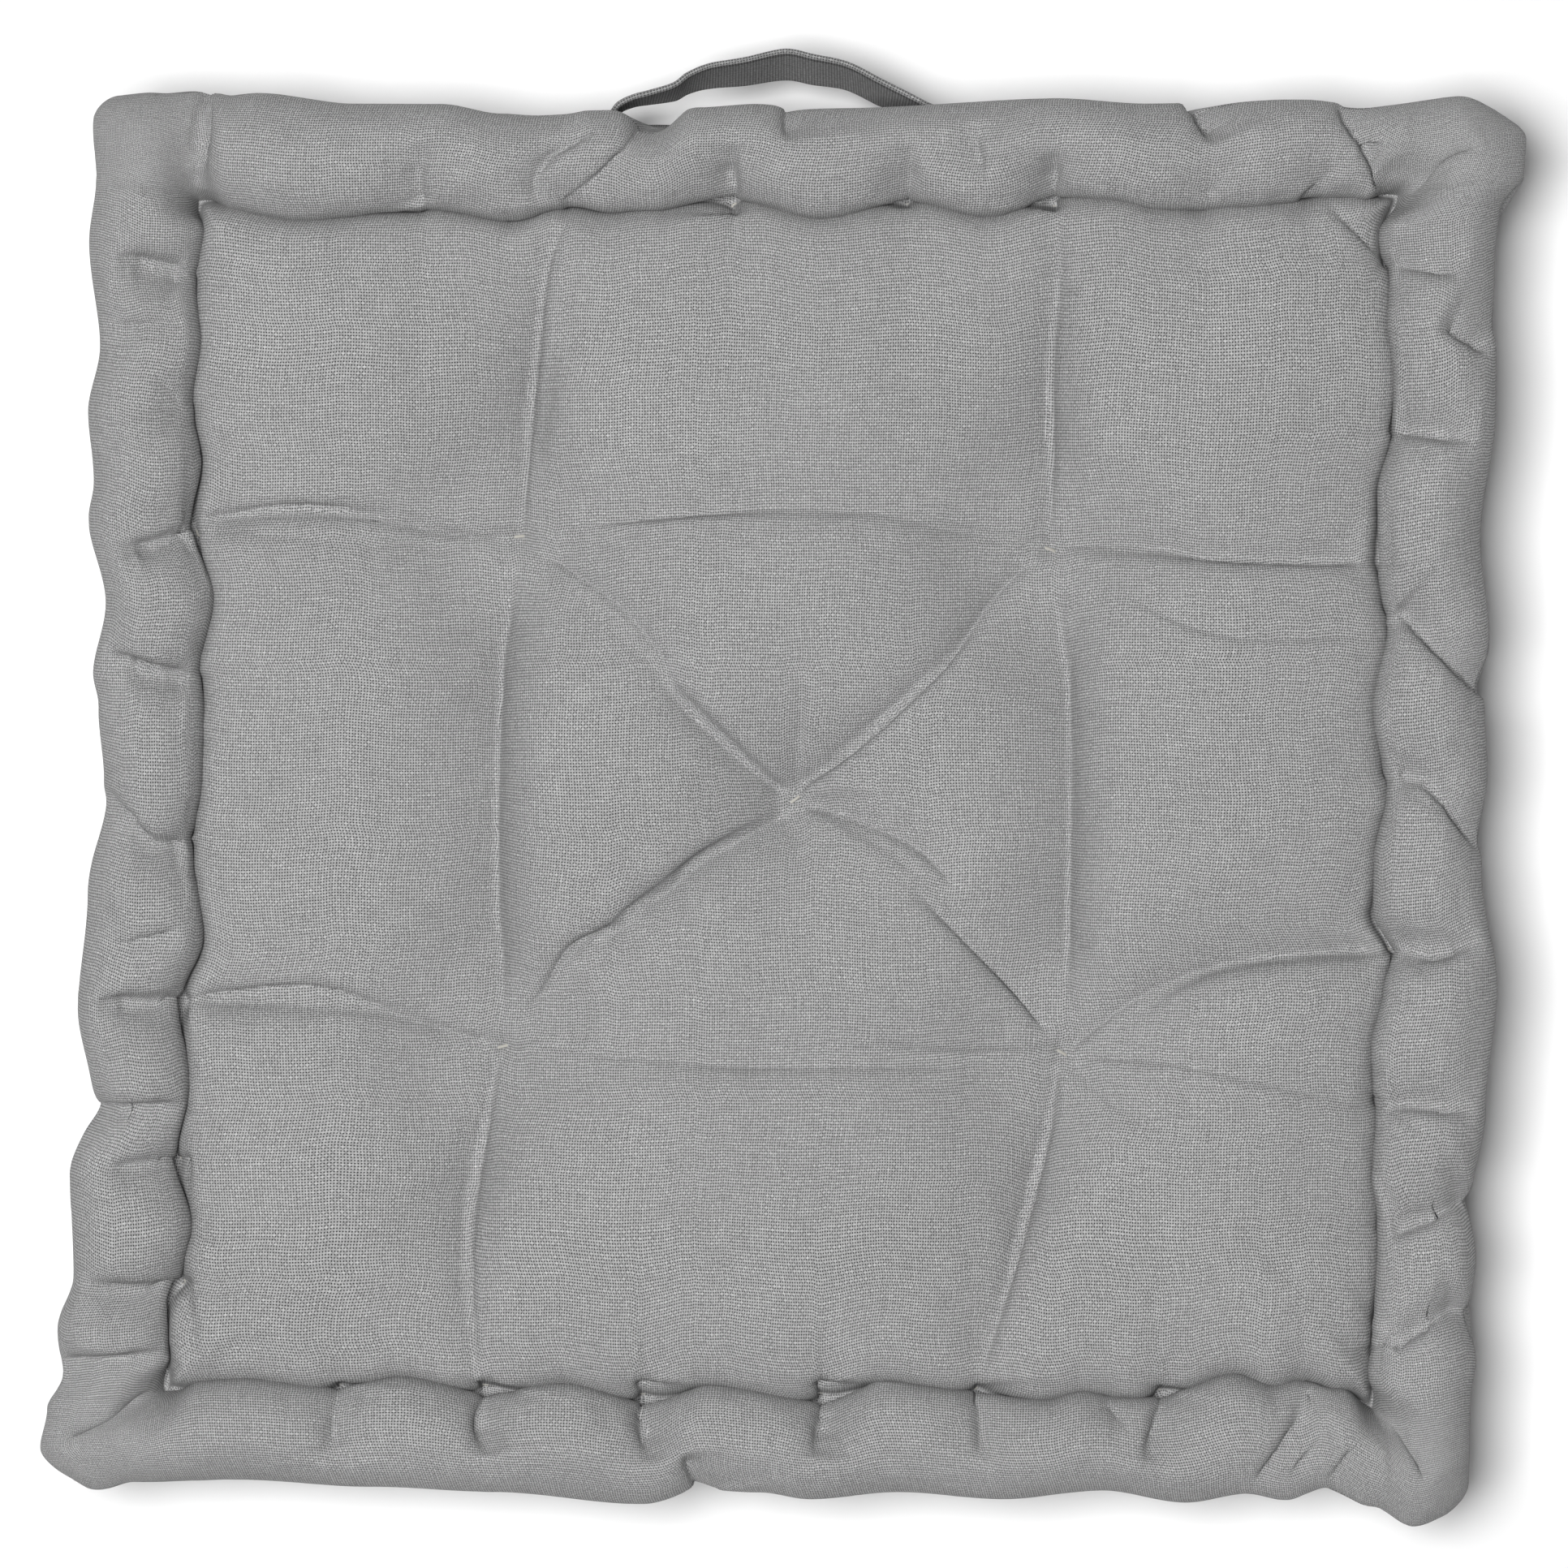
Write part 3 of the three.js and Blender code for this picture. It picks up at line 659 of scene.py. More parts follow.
def creased(points, creases, clear):
    """Sinks creases into a grid along its normals, less where the cloth is steep. They fade out
    within the distance clear of each tie."""
    plan = points[..., :2]
    found = [crease(plan, *facts) for facts in creases]
    depth = together([sunk for sunk, _ in found])
    drawn = sum(sideways for _, sideways in found)
    drawn = drawn / np.maximum(np.linalg.norm(drawn, axis=-1, keepdims=True), 1.0)
    for tuft in TUFTS.values():
        from_tie = np.linalg.norm(plan - tuft, axis=-1)
        depth = depth * (1 - 0.9 * np.exp(-((from_tie / clear) ** 2)))
    normal = grid_normals(points)
    depth = depth * (0.25 + 0.75 * np.clip(normal[..., 2], 0, 1))
    result = points - normal * depth[..., None]
    result[..., :2] += drawn
    return result


# ---- Cloth ----

def settle(a, b, free_a, free_b, rest, firmness):
    """Moves the ends of a set of threads so that each keeps nearer to its rest length."""
    gap = b - a
    length = np.linalg.norm(gap, axis=-1, keepdims=True)
    share = firmness * (length - rest) / np.maximum(length, 1e-6)
    move = share * gap / np.maximum(free_a + free_b, 1e-6)
    a += free_a * move
    b -= free_b * move


def thread_links(shape, slack):
    """Threads between neighbours, and stiffer spans that keep the cloth from folding sharply."""
    links = []
    for axis in (0, 1):
        view = np.swapaxes(shape, 0, axis)
        for reach, firmness in ((1, 0.9), (2, 0.3), (4, 0.1)):
            measured = np.linalg.norm(view[reach:] - view[:-reach], axis=-1, keepdims=True)
            rest = np.clip(CUT_STEP * reach, measured, measured * (1 + slack))
            blocks = np.arange(len(measured)) // reach % 2
            for phase in (0, 1):
                rows = np.flatnonzero(blocks == phase)
                links.append((axis, reach, firmness, rows, rest[rows]))
    return links


STUFFING_FIRMNESS = 0.4  # share of its dip under the stuffing's surface that cloth loses each round
COVER_HOLD = 0.35  # the same for cloth that stands off the stuffing


def relax(shape, slack, held, rounds):
    """Lets sculpted cloth find its own folds over the stuffing.

    slack is how much longer than the sculpture the cloth may be, as a share of its length.
    """
    normal = grid_normals(shape)
    cloth = shape.copy()
    free = np.where(held, 0.0, 1.0)[..., None]
    links = thread_links(shape, slack)
    for _ in range(rounds):
        height = np.sum((cloth - shape) * normal, axis=-1, keepdims=True)
        hold = np.where(height < 0, STUFFING_FIRMNESS, COVER_HOLD)
        cloth -= free * hold * height * normal
        for axis, reach, firmness, rows, rest in links:
            view = np.swapaxes(cloth, 0, axis)
            loose = np.swapaxes(free, 0, axis)
            a = view[rows]
            b = view[rows + reach]
            settle(a, b, loose[rows], loose[rows + reach], rest, firmness)
            view[rows] = a
            view[rows + reach] = b
    return cloth


def finer_along(points, axis):
    """Puts a point half way between neighbours along an axis, on a smooth curve through them."""
    rows = np.swapaxes(points, 0, axis)
    padded = np.concatenate([2 * rows[:1] - rows[1:2], rows, 2 * rows[-1:] - rows[-2:-1]])
    between = (9 * (padded[1:-2] + padded[2:-1]) - padded[:-3] - padded[3:]) / 16
    result = np.empty((2 * len(rows) - 1, *rows.shape[1:]))
    result[0::2] = rows
    result[1::2] = between
    return np.swapaxes(result, 0, axis)


def finer(points):
    return finer_along(finer_along(points, 0), 1)


# ---- Meshes ----

def mesh_object(name, points, faces, uv=None):
    """A smooth mesh object from millimetre points. uv holds one pair for each point."""
    mesh = bpy.data.meshes.new(name)
    mesh.from_pydata((np.asarray(points) / 1000).tolist(), [], faces)
    if uv is not None:
        layer = mesh.uv_layers.new(name="cloth")
        corners = np.empty(len(mesh.loops), dtype=np.int32)
        mesh.loops.foreach_get("vertex_index", corners)
        layer.data.foreach_set("uv", np.asarray(uv, np.float32)[corners].ravel())
    mesh.polygons.foreach_set("use_smooth", [True] * len(mesh.polygons))
    mesh.update()
    obj = bpy.data.objects.new(name, mesh)
    bpy.context.collection.objects.link(obj)
    return obj


def grid_faces(index):
    """Quads between neighbouring entries of a grid of point numbers."""
    corners = [index[:-1, :-1], index[1:, :-1], index[1:, 1:], index[:-1, 1:]]
    return np.stack(corners, axis=-1).reshape(-1, 4).tolist()


def rim(index):
    """The border of a grid of point numbers, once round."""
    return np.concatenate([index[:-1, 0], index[-1, :-1], index[:0:-1, -1], index[0, :0:-1]])


def cloth_shell(name, outer, uv):
    """Cloth with a fine outer face, a coarser inner face and a closed edge.

    Rows run so that the outer face's normal is the cross product of rows and columns.
    """
    inner = (outer - grid_normals(outer) * CLOTH)[::2, ::2]
    outer_index = np.arange(outer[..., 0].size).reshape(outer.shape[:2])
    inner_index = outer_index.size + np.arange(inner[..., 0].size).reshape(inner.shape[:2])
    faces = grid_faces(outer_index) + grid_faces(inner_index.T)
    outer_rim = rim(outer_index)
    inner_rim = rim(inner_index)
    count = len(inner_rim)
    for k in range(count):
        following = (k + 1) % count
        edge = [outer_rim[2 * k], outer_rim[2 * k + 1], outer_rim[(2 * k + 2) % (2 * count)]]
        faces.append([int(p) for p in [*reversed(edge), inner_rim[k], inner_rim[following]]])
    points = np.concatenate([outer.reshape(-1, 3), inner.reshape(-1, 3)])
    pairs = np.concatenate([uv.reshape(-1, 2), uv[::2, ::2].reshape(-1, 2)])
    return mesh_object(name, points, faces, pairs)


# ---- Materials ----

class Nodes:
    """A material's node tree, with short calls for what the materials here need."""

    def __init__(self, name):
        self.material = bpy.data.materials.new(name)
        self.material.use_nodes = True
        self.tree = self.material.node_tree
        self.shader = self.tree.nodes["Principled BSDF"]

    def add(self, kind, inputs=None, **settings):
        node = self.tree.nodes.new(kind)
        for setting, value in settings.items():
            setattr(node, setting, value)
        for socket, value in (inputs or {}).items():
            self.feed(node, socket, value)
        return node

    def feed(self, node, socket, value):
        if isinstance(value, bpy.types.NodeSocket):
            self.tree.links.new(value, node.inputs[socket])
        else:
            node.inputs[socket].default_value = value

    def math(self, operation, first, second=0.0, third=0.0):
        inputs = {0: first, 1: second, 2: third}
        return self.add("ShaderNodeMath", inputs, operation=operation).outputs[0]

    def mix(self, share, first, second, blend="MIX"):
        """Mixes two colours."""
        node = self.add("ShaderNodeMix", data_type="RGBA", blend_type=blend)
        self.feed(node, "Factor", share)
        self.feed(node, 6, first)
        self.feed(node, 7, second)
        return node.outputs[2]

    def noise(self, vector, scale, detail):
        inputs = {"Vector": vector, "Scale": scale, "Detail": detail}
        return self.add("ShaderNodeTexNoise", inputs).outputs[0]

    def span(self, value, low, high, to_low=0.0, to_high=1.0):
        """Maps a range of a value to another, held at both ends."""
        inputs = {0: value, 1: low, 2: high, 3: to_low, 4: to_high}
        return self.add("ShaderNodeMapRange", inputs, clamp=True).outputs[0]

    def bump(self, height, distance, strength=1.0, under=None):
        inputs = {"Height": height, "Distance": distance, "Strength": strength}
        if under is not None:
            inputs["Normal"] = under
        return self.add("ShaderNodeBump", inputs).outputs[0]


def grey(value):
    return (value, value, value, 1.0)


THREAD_PITCH = (0.713, 0.838)  # along the cloth's first and second direction


def plain_weave(nodes, u, v):
    """A plain weave: its height, how far a place is from its holes, and where the threads
    along v lie on top."""
    wave_u = nodes.math("SINE", nodes.math("MULTIPLY", u, math.pi))
    wave_v = nodes.math("SINE", nodes.math("MULTIPLY", v, math.pi))
    round_u = nodes.math("ABSOLUTE", wave_u)
    round_v = nodes.math("ABSOLUTE", wave_v)
    over_u = nodes.math("MULTIPLY", nodes.math("SIGN", wave_u), wave_v)
    over_v = nodes.math("MULTIPLY", nodes.math("SIGN", wave_v), wave_u)
    warp = nodes.math("MULTIPLY_ADD", over_u, 0.7, round_u)
    weft = nodes.math("MULTIPLY_ADD", over_v, -0.7, round_v)
    height = nodes.math("MULTIPLY", nodes.math("MAXIMUM", warp, weft), 1 / 1.7)
    off_hole = nodes.math("MULTIPLY_ADD", wave_u, wave_u, nodes.math("MULTIPLY", wave_v, wave_v))
    return height, off_hole, nodes.math("GREATER_THAN", warp, weft)


def thread_tone(nodes, uv, stretch, darkest, lightest):
    """Tone of uneven threads, which changes slowly along them and quickly across them."""
    scaled = nodes.add("ShaderNodeVectorMath", {0: uv, 1: stretch}, operation="MULTIPLY")
    return nodes.span(nodes.noise(scaled.outputs[0], 1.0, 2.0), 0.25, 0.75, darkest, lightest)


def canvas(name, tone):
    """Melange grey cotton canvas: a plain weave of uneven threads, with painted shade in the weave's
    holes.
    """
    nodes = Nodes(name)
    uv = nodes.add("ShaderNodeUVMap", uv_map="cloth").outputs[0]
    drift = nodes.math("MULTIPLY_ADD", nodes.noise(uv, 0.02, 1.0), 0.6, -0.3)
    split = nodes.add("ShaderNodeSeparateXYZ", {0: uv})
    u = nodes.math("ADD", split.outputs[0], drift)
    v = nodes.math("SUBTRACT", split.outputs[1], drift)
    height, off_hole, on_top = plain_weave(nodes, u, v)
    warp_tone = thread_tone(nodes, uv, (1.0, 0.09, 1.0), tone * 0.72, tone * 1.15)
    weft_tone = thread_tone(nodes, uv, (0.09, 1.0, 1.0), tone * 0.85, tone * 1.3)
    seen_tone = nodes.mix(on_top, weft_tone, warp_tone)
    fleck = nodes.span(nodes.noise(uv, 0.9, 3.0), 0.25, 0.75, 0.72, 1.28)
    cloud = nodes.span(nodes.noise(uv, 0.02, 3.0), 0.3, 0.7, 0.965, 1.035)
    # Painted shade: the colour darkens towards the weave's holes, where shade falls between the
    # threads.
    hole_shade = nodes.span(off_hole, 0.1, 0.95, 0.0, 1.0)
    # Fleck and cloud are the threads' own uneven tone; the darkening at the holes is painted shade.
    tone_and_painted_shade = nodes.math("MULTIPLY", nodes.math("MULTIPLY", fleck, cloud), hole_shade)
    colour = nodes.mix(1.0, seen_tone, tone_and_painted_shade, "MULTIPLY")
    nodes.feed(nodes.shader, "Base Color", colour)
    fibres = nodes.bump(nodes.noise(uv, 4.0, 2.0), 0.00004, 0.6)
    nodes.feed(nodes.shader, "Normal", nodes.bump(height, 0.00012, 1.0, fibres))
    nodes.feed(nodes.shader, "Roughness", nodes.span(height, 0.0, 1.0, 1.0, 0.82))
    nodes.shader.inputs["Specular IOR Level"].default_value = 0.15
    nodes.shader.inputs["Sheen Weight"].default_value = 0.04
    nodes.shader.inputs["Sheen Roughness"].default_value = 0.5
    return nodes.material


CANVAS = canvas("canvas", 0.392)
# The strap's canvas is the cover's with a lower tone: painted shade, standing in for the shade the
# strap hangs in beside the band.
SHADED_STRAP_CANVAS = canvas("handle_canvas_painted_shade", 0.28)


def finish_piece(obj, material, body="cushion", stands_for=()):
    """Gives a piece its material, its body and the CAD nodes it replaces."""
    obj.data.materials.append(material)
    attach(obj, body)
    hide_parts(*stands_for)
    return obj


# ---- Cover: the two quilted panels ----

CUT_PLACES = CUT_STEP * np.arange(-FIELD_LINES - ROLL_LINES, FIELD_LINES + ROLL_LINES + 1)
CUT_X, CUT_Y = np.meshgrid(CUT_PLACES, CUT_PLACES, indexing="ij")
COVER_UV = finer(np.stack([CUT_X / THREAD_PITCH[0], CUT_Y / THREAD_PITCH[1]], axis=-1))
SETTLING_ROUNDS = 160
MITRE_ROUNDS = 30
CLOTH_SLACK = 0.008
TIE_HOLD = 1.5  # reach of the cloth that a tie holds fast
VALLEY_CLEAR = 17.0  # how far from a tie the valleys and broad folds fade out
FINE_CLEAR = 2.0  # the same for the fine creases
BROAD_DEPTH = 0.42  # of the fold under each crease of a roll, as a share of the crease's
BROAD_WIDTH = 2.5
WEAVE_REACH = 40  # steps to each side over which the weave evens out


def local_average(steps):
    """Average of each step and those around it, along the first axis."""
    count = 2 * WEAVE_REACH + 1
    total = np.cumsum(np.pad(steps, [(WEAVE_REACH + 1, WEAVE_REACH), (0, 0)], mode="edge"), axis=0)
    return (total[count:] - total[:-count]) / count


def even_weave(surface):
    """Cloth coordinates of a panel, so that its threads keep their pitch in the creases."""
    uv = COVER_UV.copy()
    for axis, pitch in enumerate(THREAD_PITCH):
        steps = np.minimum(np.linalg.norm(np.diff(surface, axis=axis), axis=-1), 2 * CUT_STEP)
        steps = steps if axis == 0 else steps.T
        shift = np.cumsum(steps - local_average(steps), axis=0) / pitch
        shift = np.pad(shift, [(1, 0), (0, 0)])
        uv[..., axis] += shift if axis == 0 else shift.T
    return uv


def held_points(surface):
    """Cloth that can't move: at the seam, along the groove and at each tie."""
    held = np.zeros(surface.shape[:2], bool)
    held[[0, -1], :] = True
    held[:, [0, -1]] = True
    groove = slice(ROLL_LINES, -ROLL_LINES)
    held[[ROLL_LINES, -ROLL_LINES - 1], groove] = True
    held[groove, [ROLL_LINES, -ROLL_LINES - 1]] = True
    for x, y in TUFTS.values():
        held |= np.hypot(surface[..., 0] - x, surface[..., 1] - y) < TIE_HOLD
    return held


def soften_mitres(points):
    """Evens out the cloth that bunches where two rolls meet at a corner."""
    nearer = np.minimum(np.abs(CUT_X), np.abs(CUT_Y)) - FIELD_CUT
    further = np.maximum(np.abs(CUT_X), np.abs(CUT_Y)) - FIELD_CUT
    share = 0.5 * smoothstep(0, 6, nearer) * smoothstep(ROLL_CUT - 2, ROLL_CUT - 20, further)
    for _ in range(MITRE_ROUNDS):
        around = sum(np.roll(points, step, axis) for step in (1, -1) for axis in (0, 1)) / 4
        points = points + share[..., None] * (around - points)
    return points


def half_cover(seed):
    """Upper half of the cover. The lower half is made the same way and turned over."""
    broad_folds = []
    for line, depth, width, _ in ROLL_CREASES:
        broad_folds.append((line, BROAD_DEPTH * depth, BROAD_WIDTH * width, (0.02, 0.15)))
    sculpted = creased(upper_surface(CUT_X, CUT_Y), VALLEYS + broad_folds, VALLEY_CLEAR)
    rounds = SETTLING_ROUNDS
    settled = soften_mitres(relax(sculpted, CLOTH_SLACK, held_points(sculpted), rounds))
    listed = FIELD_CREASES + ROLL_CREASES + CORNER_CREASES
    return creased(finer(settled), listed + stitch_fans(seed) + small_puckers(seed), FINE_CLEAR)


def turned_over(surface):
    """The same surface as an underside, pressed flat where it rests on the floor."""
    under = surface.copy()
    under[..., 2] = 2 * MIDDLE - surface[..., 2]
    under[..., 2] = (under[..., 2] + np.hypot(under[..., 2], 2.0)) / 2
    return under


def edge_distance(rows, columns):
    """Grid lines between each point of a grid and its nearest edge."""
    down = np.minimum(np.arange(rows), np.arange(rows)[::-1])
    across = np.minimum(np.arange(columns), np.arange(columns)[::-1])
    return np.minimum(down[:, None], across[None, :])


SEAM_TUCK = 1.4


def tucked_in(surface, inward):
    """Draws the edge of a panel into its seam."""
    pull = SEAM_TUCK * np.clip(1 - edge_distance(*surface.shape[:2]) / 2.5, 0, 1) ** 1.5
    return surface + inward * grid_normals(surface) * pull[..., None]


def panel_line(surface, side, inset=0):
    """A grid line of a panel along a side, inset from its edge, from low to high x or y."""
    return {
        "right": surface[-1 - inset],
        "back": surface[:, -1 - inset],
        "left": surface[inset],
        "front": surface[:, inset],
    }[side]


top_loose = half_cover(4)
bottom_loose = turned_over(half_cover(9))
top_surface = tucked_in(top_loose, -1)
bottom_surface = tucked_in(bottom_loose, 1)

top_cover = cloth_shell("top_cover", top_surface, even_weave(top_surface))
finish_piece(top_cover, CANVAS, stands_for=["top_panel"])
bottom_uv = np.swapaxes(even_weave(bottom_surface), 0, 1)
bottom_cover = cloth_shell("bottom_cover", np.swapaxes(bottom_surface, 0, 1), bottom_uv)
finish_piece(bottom_cover, CANVAS, stands_for=["bottom_panel"])


# ---- Cover: the side bands between the rolls ----

LOBE_END = math.acos((BAND_REACH - ROLL_CENTRE) / (ROLL_WIDTH / 2))
BAND_TOP = RIM_TOP - ROLL_RISE * math.sin(LOBE_END)  # where the upper roll is stitched to the band
BAND_FOOT = 2 * MIDDLE - BAND_TOP
LOBE_ROWS = 8
WALL_ROWS = 17


def band_gathers(side, seed):
    """Short gathers above and below both rows of stitches of a band, in along and height."""
    draw = np.random.default_rng(seed)
    gathers = []
    for along in [*SIDES[side]["stitches"], *draw.uniform(-180, 180, 26)]:
        for row in (BAND_TOP, BAND_FOOT):
            rise = draw.uniform(5, 11) * draw.choice([-1, 1])
            ends = [(along, row), (along + draw.uniform(-4, 4), row + rise)]
            gathers.append((ends, draw.uniform(0.4, 1.1), draw.uniform(1.8, 2.8), (0.02, 0.7)))
    return gathers


def band_relief(side, along, height, seed):
    """How far the band's cloth stands out: gathers, slack waves and a bulge half way up."""
    flat = np.stack([along, height], axis=-1)
    relief = -together([crease(flat, *gather)[0] for gather in band_gathers(side, seed)])
    draw = np.random.default_rng(seed + 50)
    for _ in range(12):
        wave = draw.uniform(0.03, 0.16)
        tilt = draw.uniform(-0.06, 0.06)
        phase = draw.uniform(0, 6.3)
        relief += 0.35 * np.sin(wave * along + tilt * height + phase)
    middle = np.clip(1 - ((height - MIDDLE) / (BAND_TOP - MIDDLE)) ** 2, 0, 1)
    return relief + 1.6 * middle * (1 - 0.4 * stitch_pull(side, along, 12))


def lobe_rows(edge, tucked, wall, groove_height):
    """Rows of the band's part that covers the outer lower half of a roll, from its seam."""
    rows = [tucked]
    for turn in np.linspace(0, LOBE_END, LOBE_ROWS + 1)[1:-1]:
        share = (1 - math.cos(turn)) / (1 - math.cos(LOBE_END))
        row = edge + (wall - edge) * share
        row[:, 2] = edge[:, 2] + (groove_height - edge[:, 2]) * math.sin(turn) / math.sin(LOBE_END)
        rows.append(row)
    return rows


def band_surface(side, seed):
    """The band as rows along the side, so that rows and columns give its outward normal."""
    upper = panel_line(top_loose, side)
    lower = panel_line(bottom_loose, side)
    along = np.linspace(-BAND_REACH, BAND_REACH, len(upper))
    plain = np.broadcast_arrays(*from_side(side, np.float64(BAND_REACH), along))
    wall = np.column_stack([*round_corner(*plain), np.full(len(along), MIDDLE)])
    rows = lobe_rows(upper, panel_line(top_surface, side), wall, BAND_TOP)
    for height in np.linspace(BAND_TOP, BAND_FOOT, WALL_ROWS):
        rows.append(np.column_stack([wall[:, :2], np.full(len(wall), height)]))
    rows += reversed(lobe_rows(lower, panel_line(bottom_surface, side), wall, BAND_FOOT))
    if side in ("right", "front"):
        rows.reverse()
    grid = np.stack(rows, axis=1)
    place = grid[..., 1] if side in ("right", "left") else grid[..., 0]
    calm = np.clip((edge_distance(*place.shape) - 0.5) / 5, 0, 1)
    relief = band_relief(side, place, grid[..., 2], seed) * calm
    return grid + grid_normals(grid) * relief[..., None]


def band_uv(grid):
    """Cloth coordinates of a band: along the side, and down its rows."""
    steps = np.linalg.norm(np.diff(grid, axis=1), axis=-1).mean(axis=0)
    down = np.concatenate([[0], np.cumsum(steps)])
    along = np.linspace(-SIDE_REACH, SIDE_REACH, len(grid))
    return pairs_of(along / THREAD_PITCH[0], down / THREAD_PITCH[1])


band_surfaces = {side: band_surface(side, 20 + k) for k, side in enumerate(SIDES)}
for side, grid in band_surfaces.items():
    band = cloth_shell(f"side_band_{side}_cloth", grid, band_uv(grid))
    finish_piece(band, CANVAS, stands_for=[f"side_band_{side}"])


# ---- Filling ----

def fibre_filling():
    """Loose off-white stuffing fibre."""
    nodes = Nodes("fibre_filling")
    place = nodes.add("ShaderNodeTexCoord").outputs["Object"]
    tuft = nodes.noise(place, 60.0, 6.0)
    wisp = nodes.noise(place, 900.0, 4.0)
    tone = nodes.mix(nodes.span(tuft, 0.3, 0.7), (0.72, 0.70, 0.64, 1), (0.86, 0.84, 0.79, 1))
    nodes.feed(nodes.shader, "Base Color", tone)
    nodes.feed(nodes.shader, "Normal", nodes.bump(wisp, 0.0008, 0.7, nodes.bump(tuft, 0.004, 0.8)))
    nodes.shader.inputs["Roughness"].default_value = 0.95
    nodes.shader.inputs["Sheen Weight"].default_value = 0.4
    return nodes.material


FIBRE = fibre_filling()
CORE_CLEARANCE = 4.0


def stacked_grids(grids):
    """Points and faces of a closed body whose levels share one grid: only the first and the
    last level have faces, and the levels' borders join them."""
    top, bottom = grids[0], grids[-1]
    index = np.arange(top[..., 0].size).reshape(top.shape[:2])
    faces = grid_faces(index) + grid_faces((index + index.size).T)
    points = [top.reshape(-1, 3), bottom.reshape(-1, 3)]
    count = 2 * index.size
    levels = [rim(index)]
    for grid in grids[1:-1]:
        border = rim(index)
        points.append(grid.reshape(-1, 3)[border])
        levels.append(count + np.arange(len(border)))
        count += len(border)
    levels.append(rim(index) + index.size)
    for upper, lower in zip(levels[:-1], levels[1:]):
        ring = zip(upper, np.roll(upper, -1), np.roll(lower, -1), lower)
        faces += [[int(a), int(d), int(c), int(b)] for a, b, c, d in ring]
    return np.concatenate(points), faces


def core_filling():
    """The filling under the quilted field, between the two panels."""
    inset = 2 * ROLL_LINES + 6
    top = top_loose[inset:-inset:2, inset:-inset:2].copy()
    bottom = bottom_loose[inset:-inset:2, inset:-inset:2].copy()
    top[..., 2] -= CORE_CLEARANCE
    bottom[..., 2] += CORE_CLEARANCE
    levels = [top + (bottom - top) * share for share in np.linspace(0, 1, 12)]
    points, faces = stacked_grids(levels)
    obj = mesh_object("core_stuffing", points, faces)
    return finish_piece(obj, FIBRE, stands_for=["core_filling"])


def ring_sections(surface, lobes):
    """Closed sections through a roll all the way round: over it on the panel, from its groove
    to its seam, then back under it on the band."""
    last = surface.shape[0] - 1
    inner = 2 * ROLL_LINES
    samples = np.linspace(0, 1, 9)
    sections = []
    for side in ("right", "back", "left", "front"):
        stations = [(min(max(k, inner), last - inner), k) for k in range(0, last + 1, 2)]
        if side in ("back", "left"):
            stations.reverse()
        for start, end in stations:
            along = np.rint(start + (end - start) * samples).astype(int)
            out = np.rint(inner * (1 - samples)).astype(int)
            rows = {
                "right": surface[last - out, along],
                "back": surface[along, last - out],
                "left": surface[out, along],
                "front": surface[along, out],
            }[side]
            sections.append(np.concatenate([rows, lobes[side][end]]))
    return np.array(sections)


def tube_faces(stations, around, closed=True):
    """Quads of a tube made of rings. A closed tube meets itself; an open one is capped."""
    index = np.arange(stations * around).reshape(stations, around)
    following = np.roll(index, -1, axis=0)
    pairs = zip(index, following) if closed else zip(index[:-1], index[1:])
    faces = []
    for ring, after in pairs:
        quads = zip(ring, np.roll(ring, -1), np.roll(after, -1), after)
        faces += [[int(a), int(b), int(c), int(d)] for a, b, c, d in quads]
    if not closed:
        faces += [index[0, ::-1].tolist(), index[-1].tolist()]
    return faces


def roll_filling(name, surface, upper, node):
    """The filling of one roll, half as thick as the roll."""
    lobes = {}
    for side, grid in band_surfaces.items():
        from_top = grid[:, ::-1] if side in ("right", "front") else grid
        rows = slice(1, LOBE_ROWS + 1) if upper else slice(-2, -LOBE_ROWS - 2, -1)
        lobes[side] = from_top[:, rows]
    sections = ring_sections(surface, lobes)
    centre = sections.mean(axis=1, keepdims=True)
    inside = centre + (sections - centre) * 0.5
    faces = tube_faces(*inside.shape[:2])
    if upper:
        faces = [face[::-1] for face in faces]
    obj = mesh_object(name, inside.reshape(-1, 3), faces)
    return finish_piece(obj, FIBRE, stands_for=[node])


core_filling()
roll_filling("top_roll_stuffing", top_loose, True, "edge_roll_filling_top")
roll_filling("bottom_roll_stuffing", bottom_loose, False, "edge_roll_filling_bottom")


# ---- Threads ----

def twisted_thread(name, colour):
    """Two-ply cotton thread: slanting plies along its length, with painted shade in the grooves
    between them.
    """
    nodes = Nodes(name)
    uv = nodes.add("ShaderNodeUVMap", uv_map="cloth").outputs[0]
    split = nodes.add("ShaderNodeSeparateXYZ", {0: uv})
    turn = nodes.math("ADD", nodes.math("MULTIPLY", split.outputs[0], 5.0), split.outputs[1])
    ply = nodes.math("ABSOLUTE", nodes.math("SINE", nodes.math("MULTIPLY", turn, math.pi)))
    fuzz = nodes.noise(uv, 6.0, 3.0)
    # Painted shade: the colour darkens in the grooves between the plies; the fuzz is the thread's own
    # uneven tone.
    groove = nodes.span(ply, 0.0, 0.6, 0.6, 1.0)
    tone_and_painted_shade = nodes.math("MULTIPLY", groove, nodes.span(fuzz, 0.2, 0.8, 0.85, 1.1))
    nodes.feed(nodes.shader, "Base Color", nodes.mix(1.0, colour, tone_and_painted_shade, "MULTIPLY"))
    nodes.feed(nodes.shader, "Normal", nodes.bump(ply, 0.0001, 1.0, nodes.bump(fuzz, 0.00005, 0.5)))
    nodes.shader.inputs["Roughness"].default_value = 0.8
    nodes.shader.inputs["Sheen Weight"].default_value = 0.3
    return nodes.material


THREAD = twisted_thread("off_white_thread", (0.66, 0.64, 0.58, 1))
THREAD_SIDES = 8


def unit(vectors):
    return vectors / np.maximum(np.linalg.norm(vectors, axis=-1, keepdims=True), 1e-9)


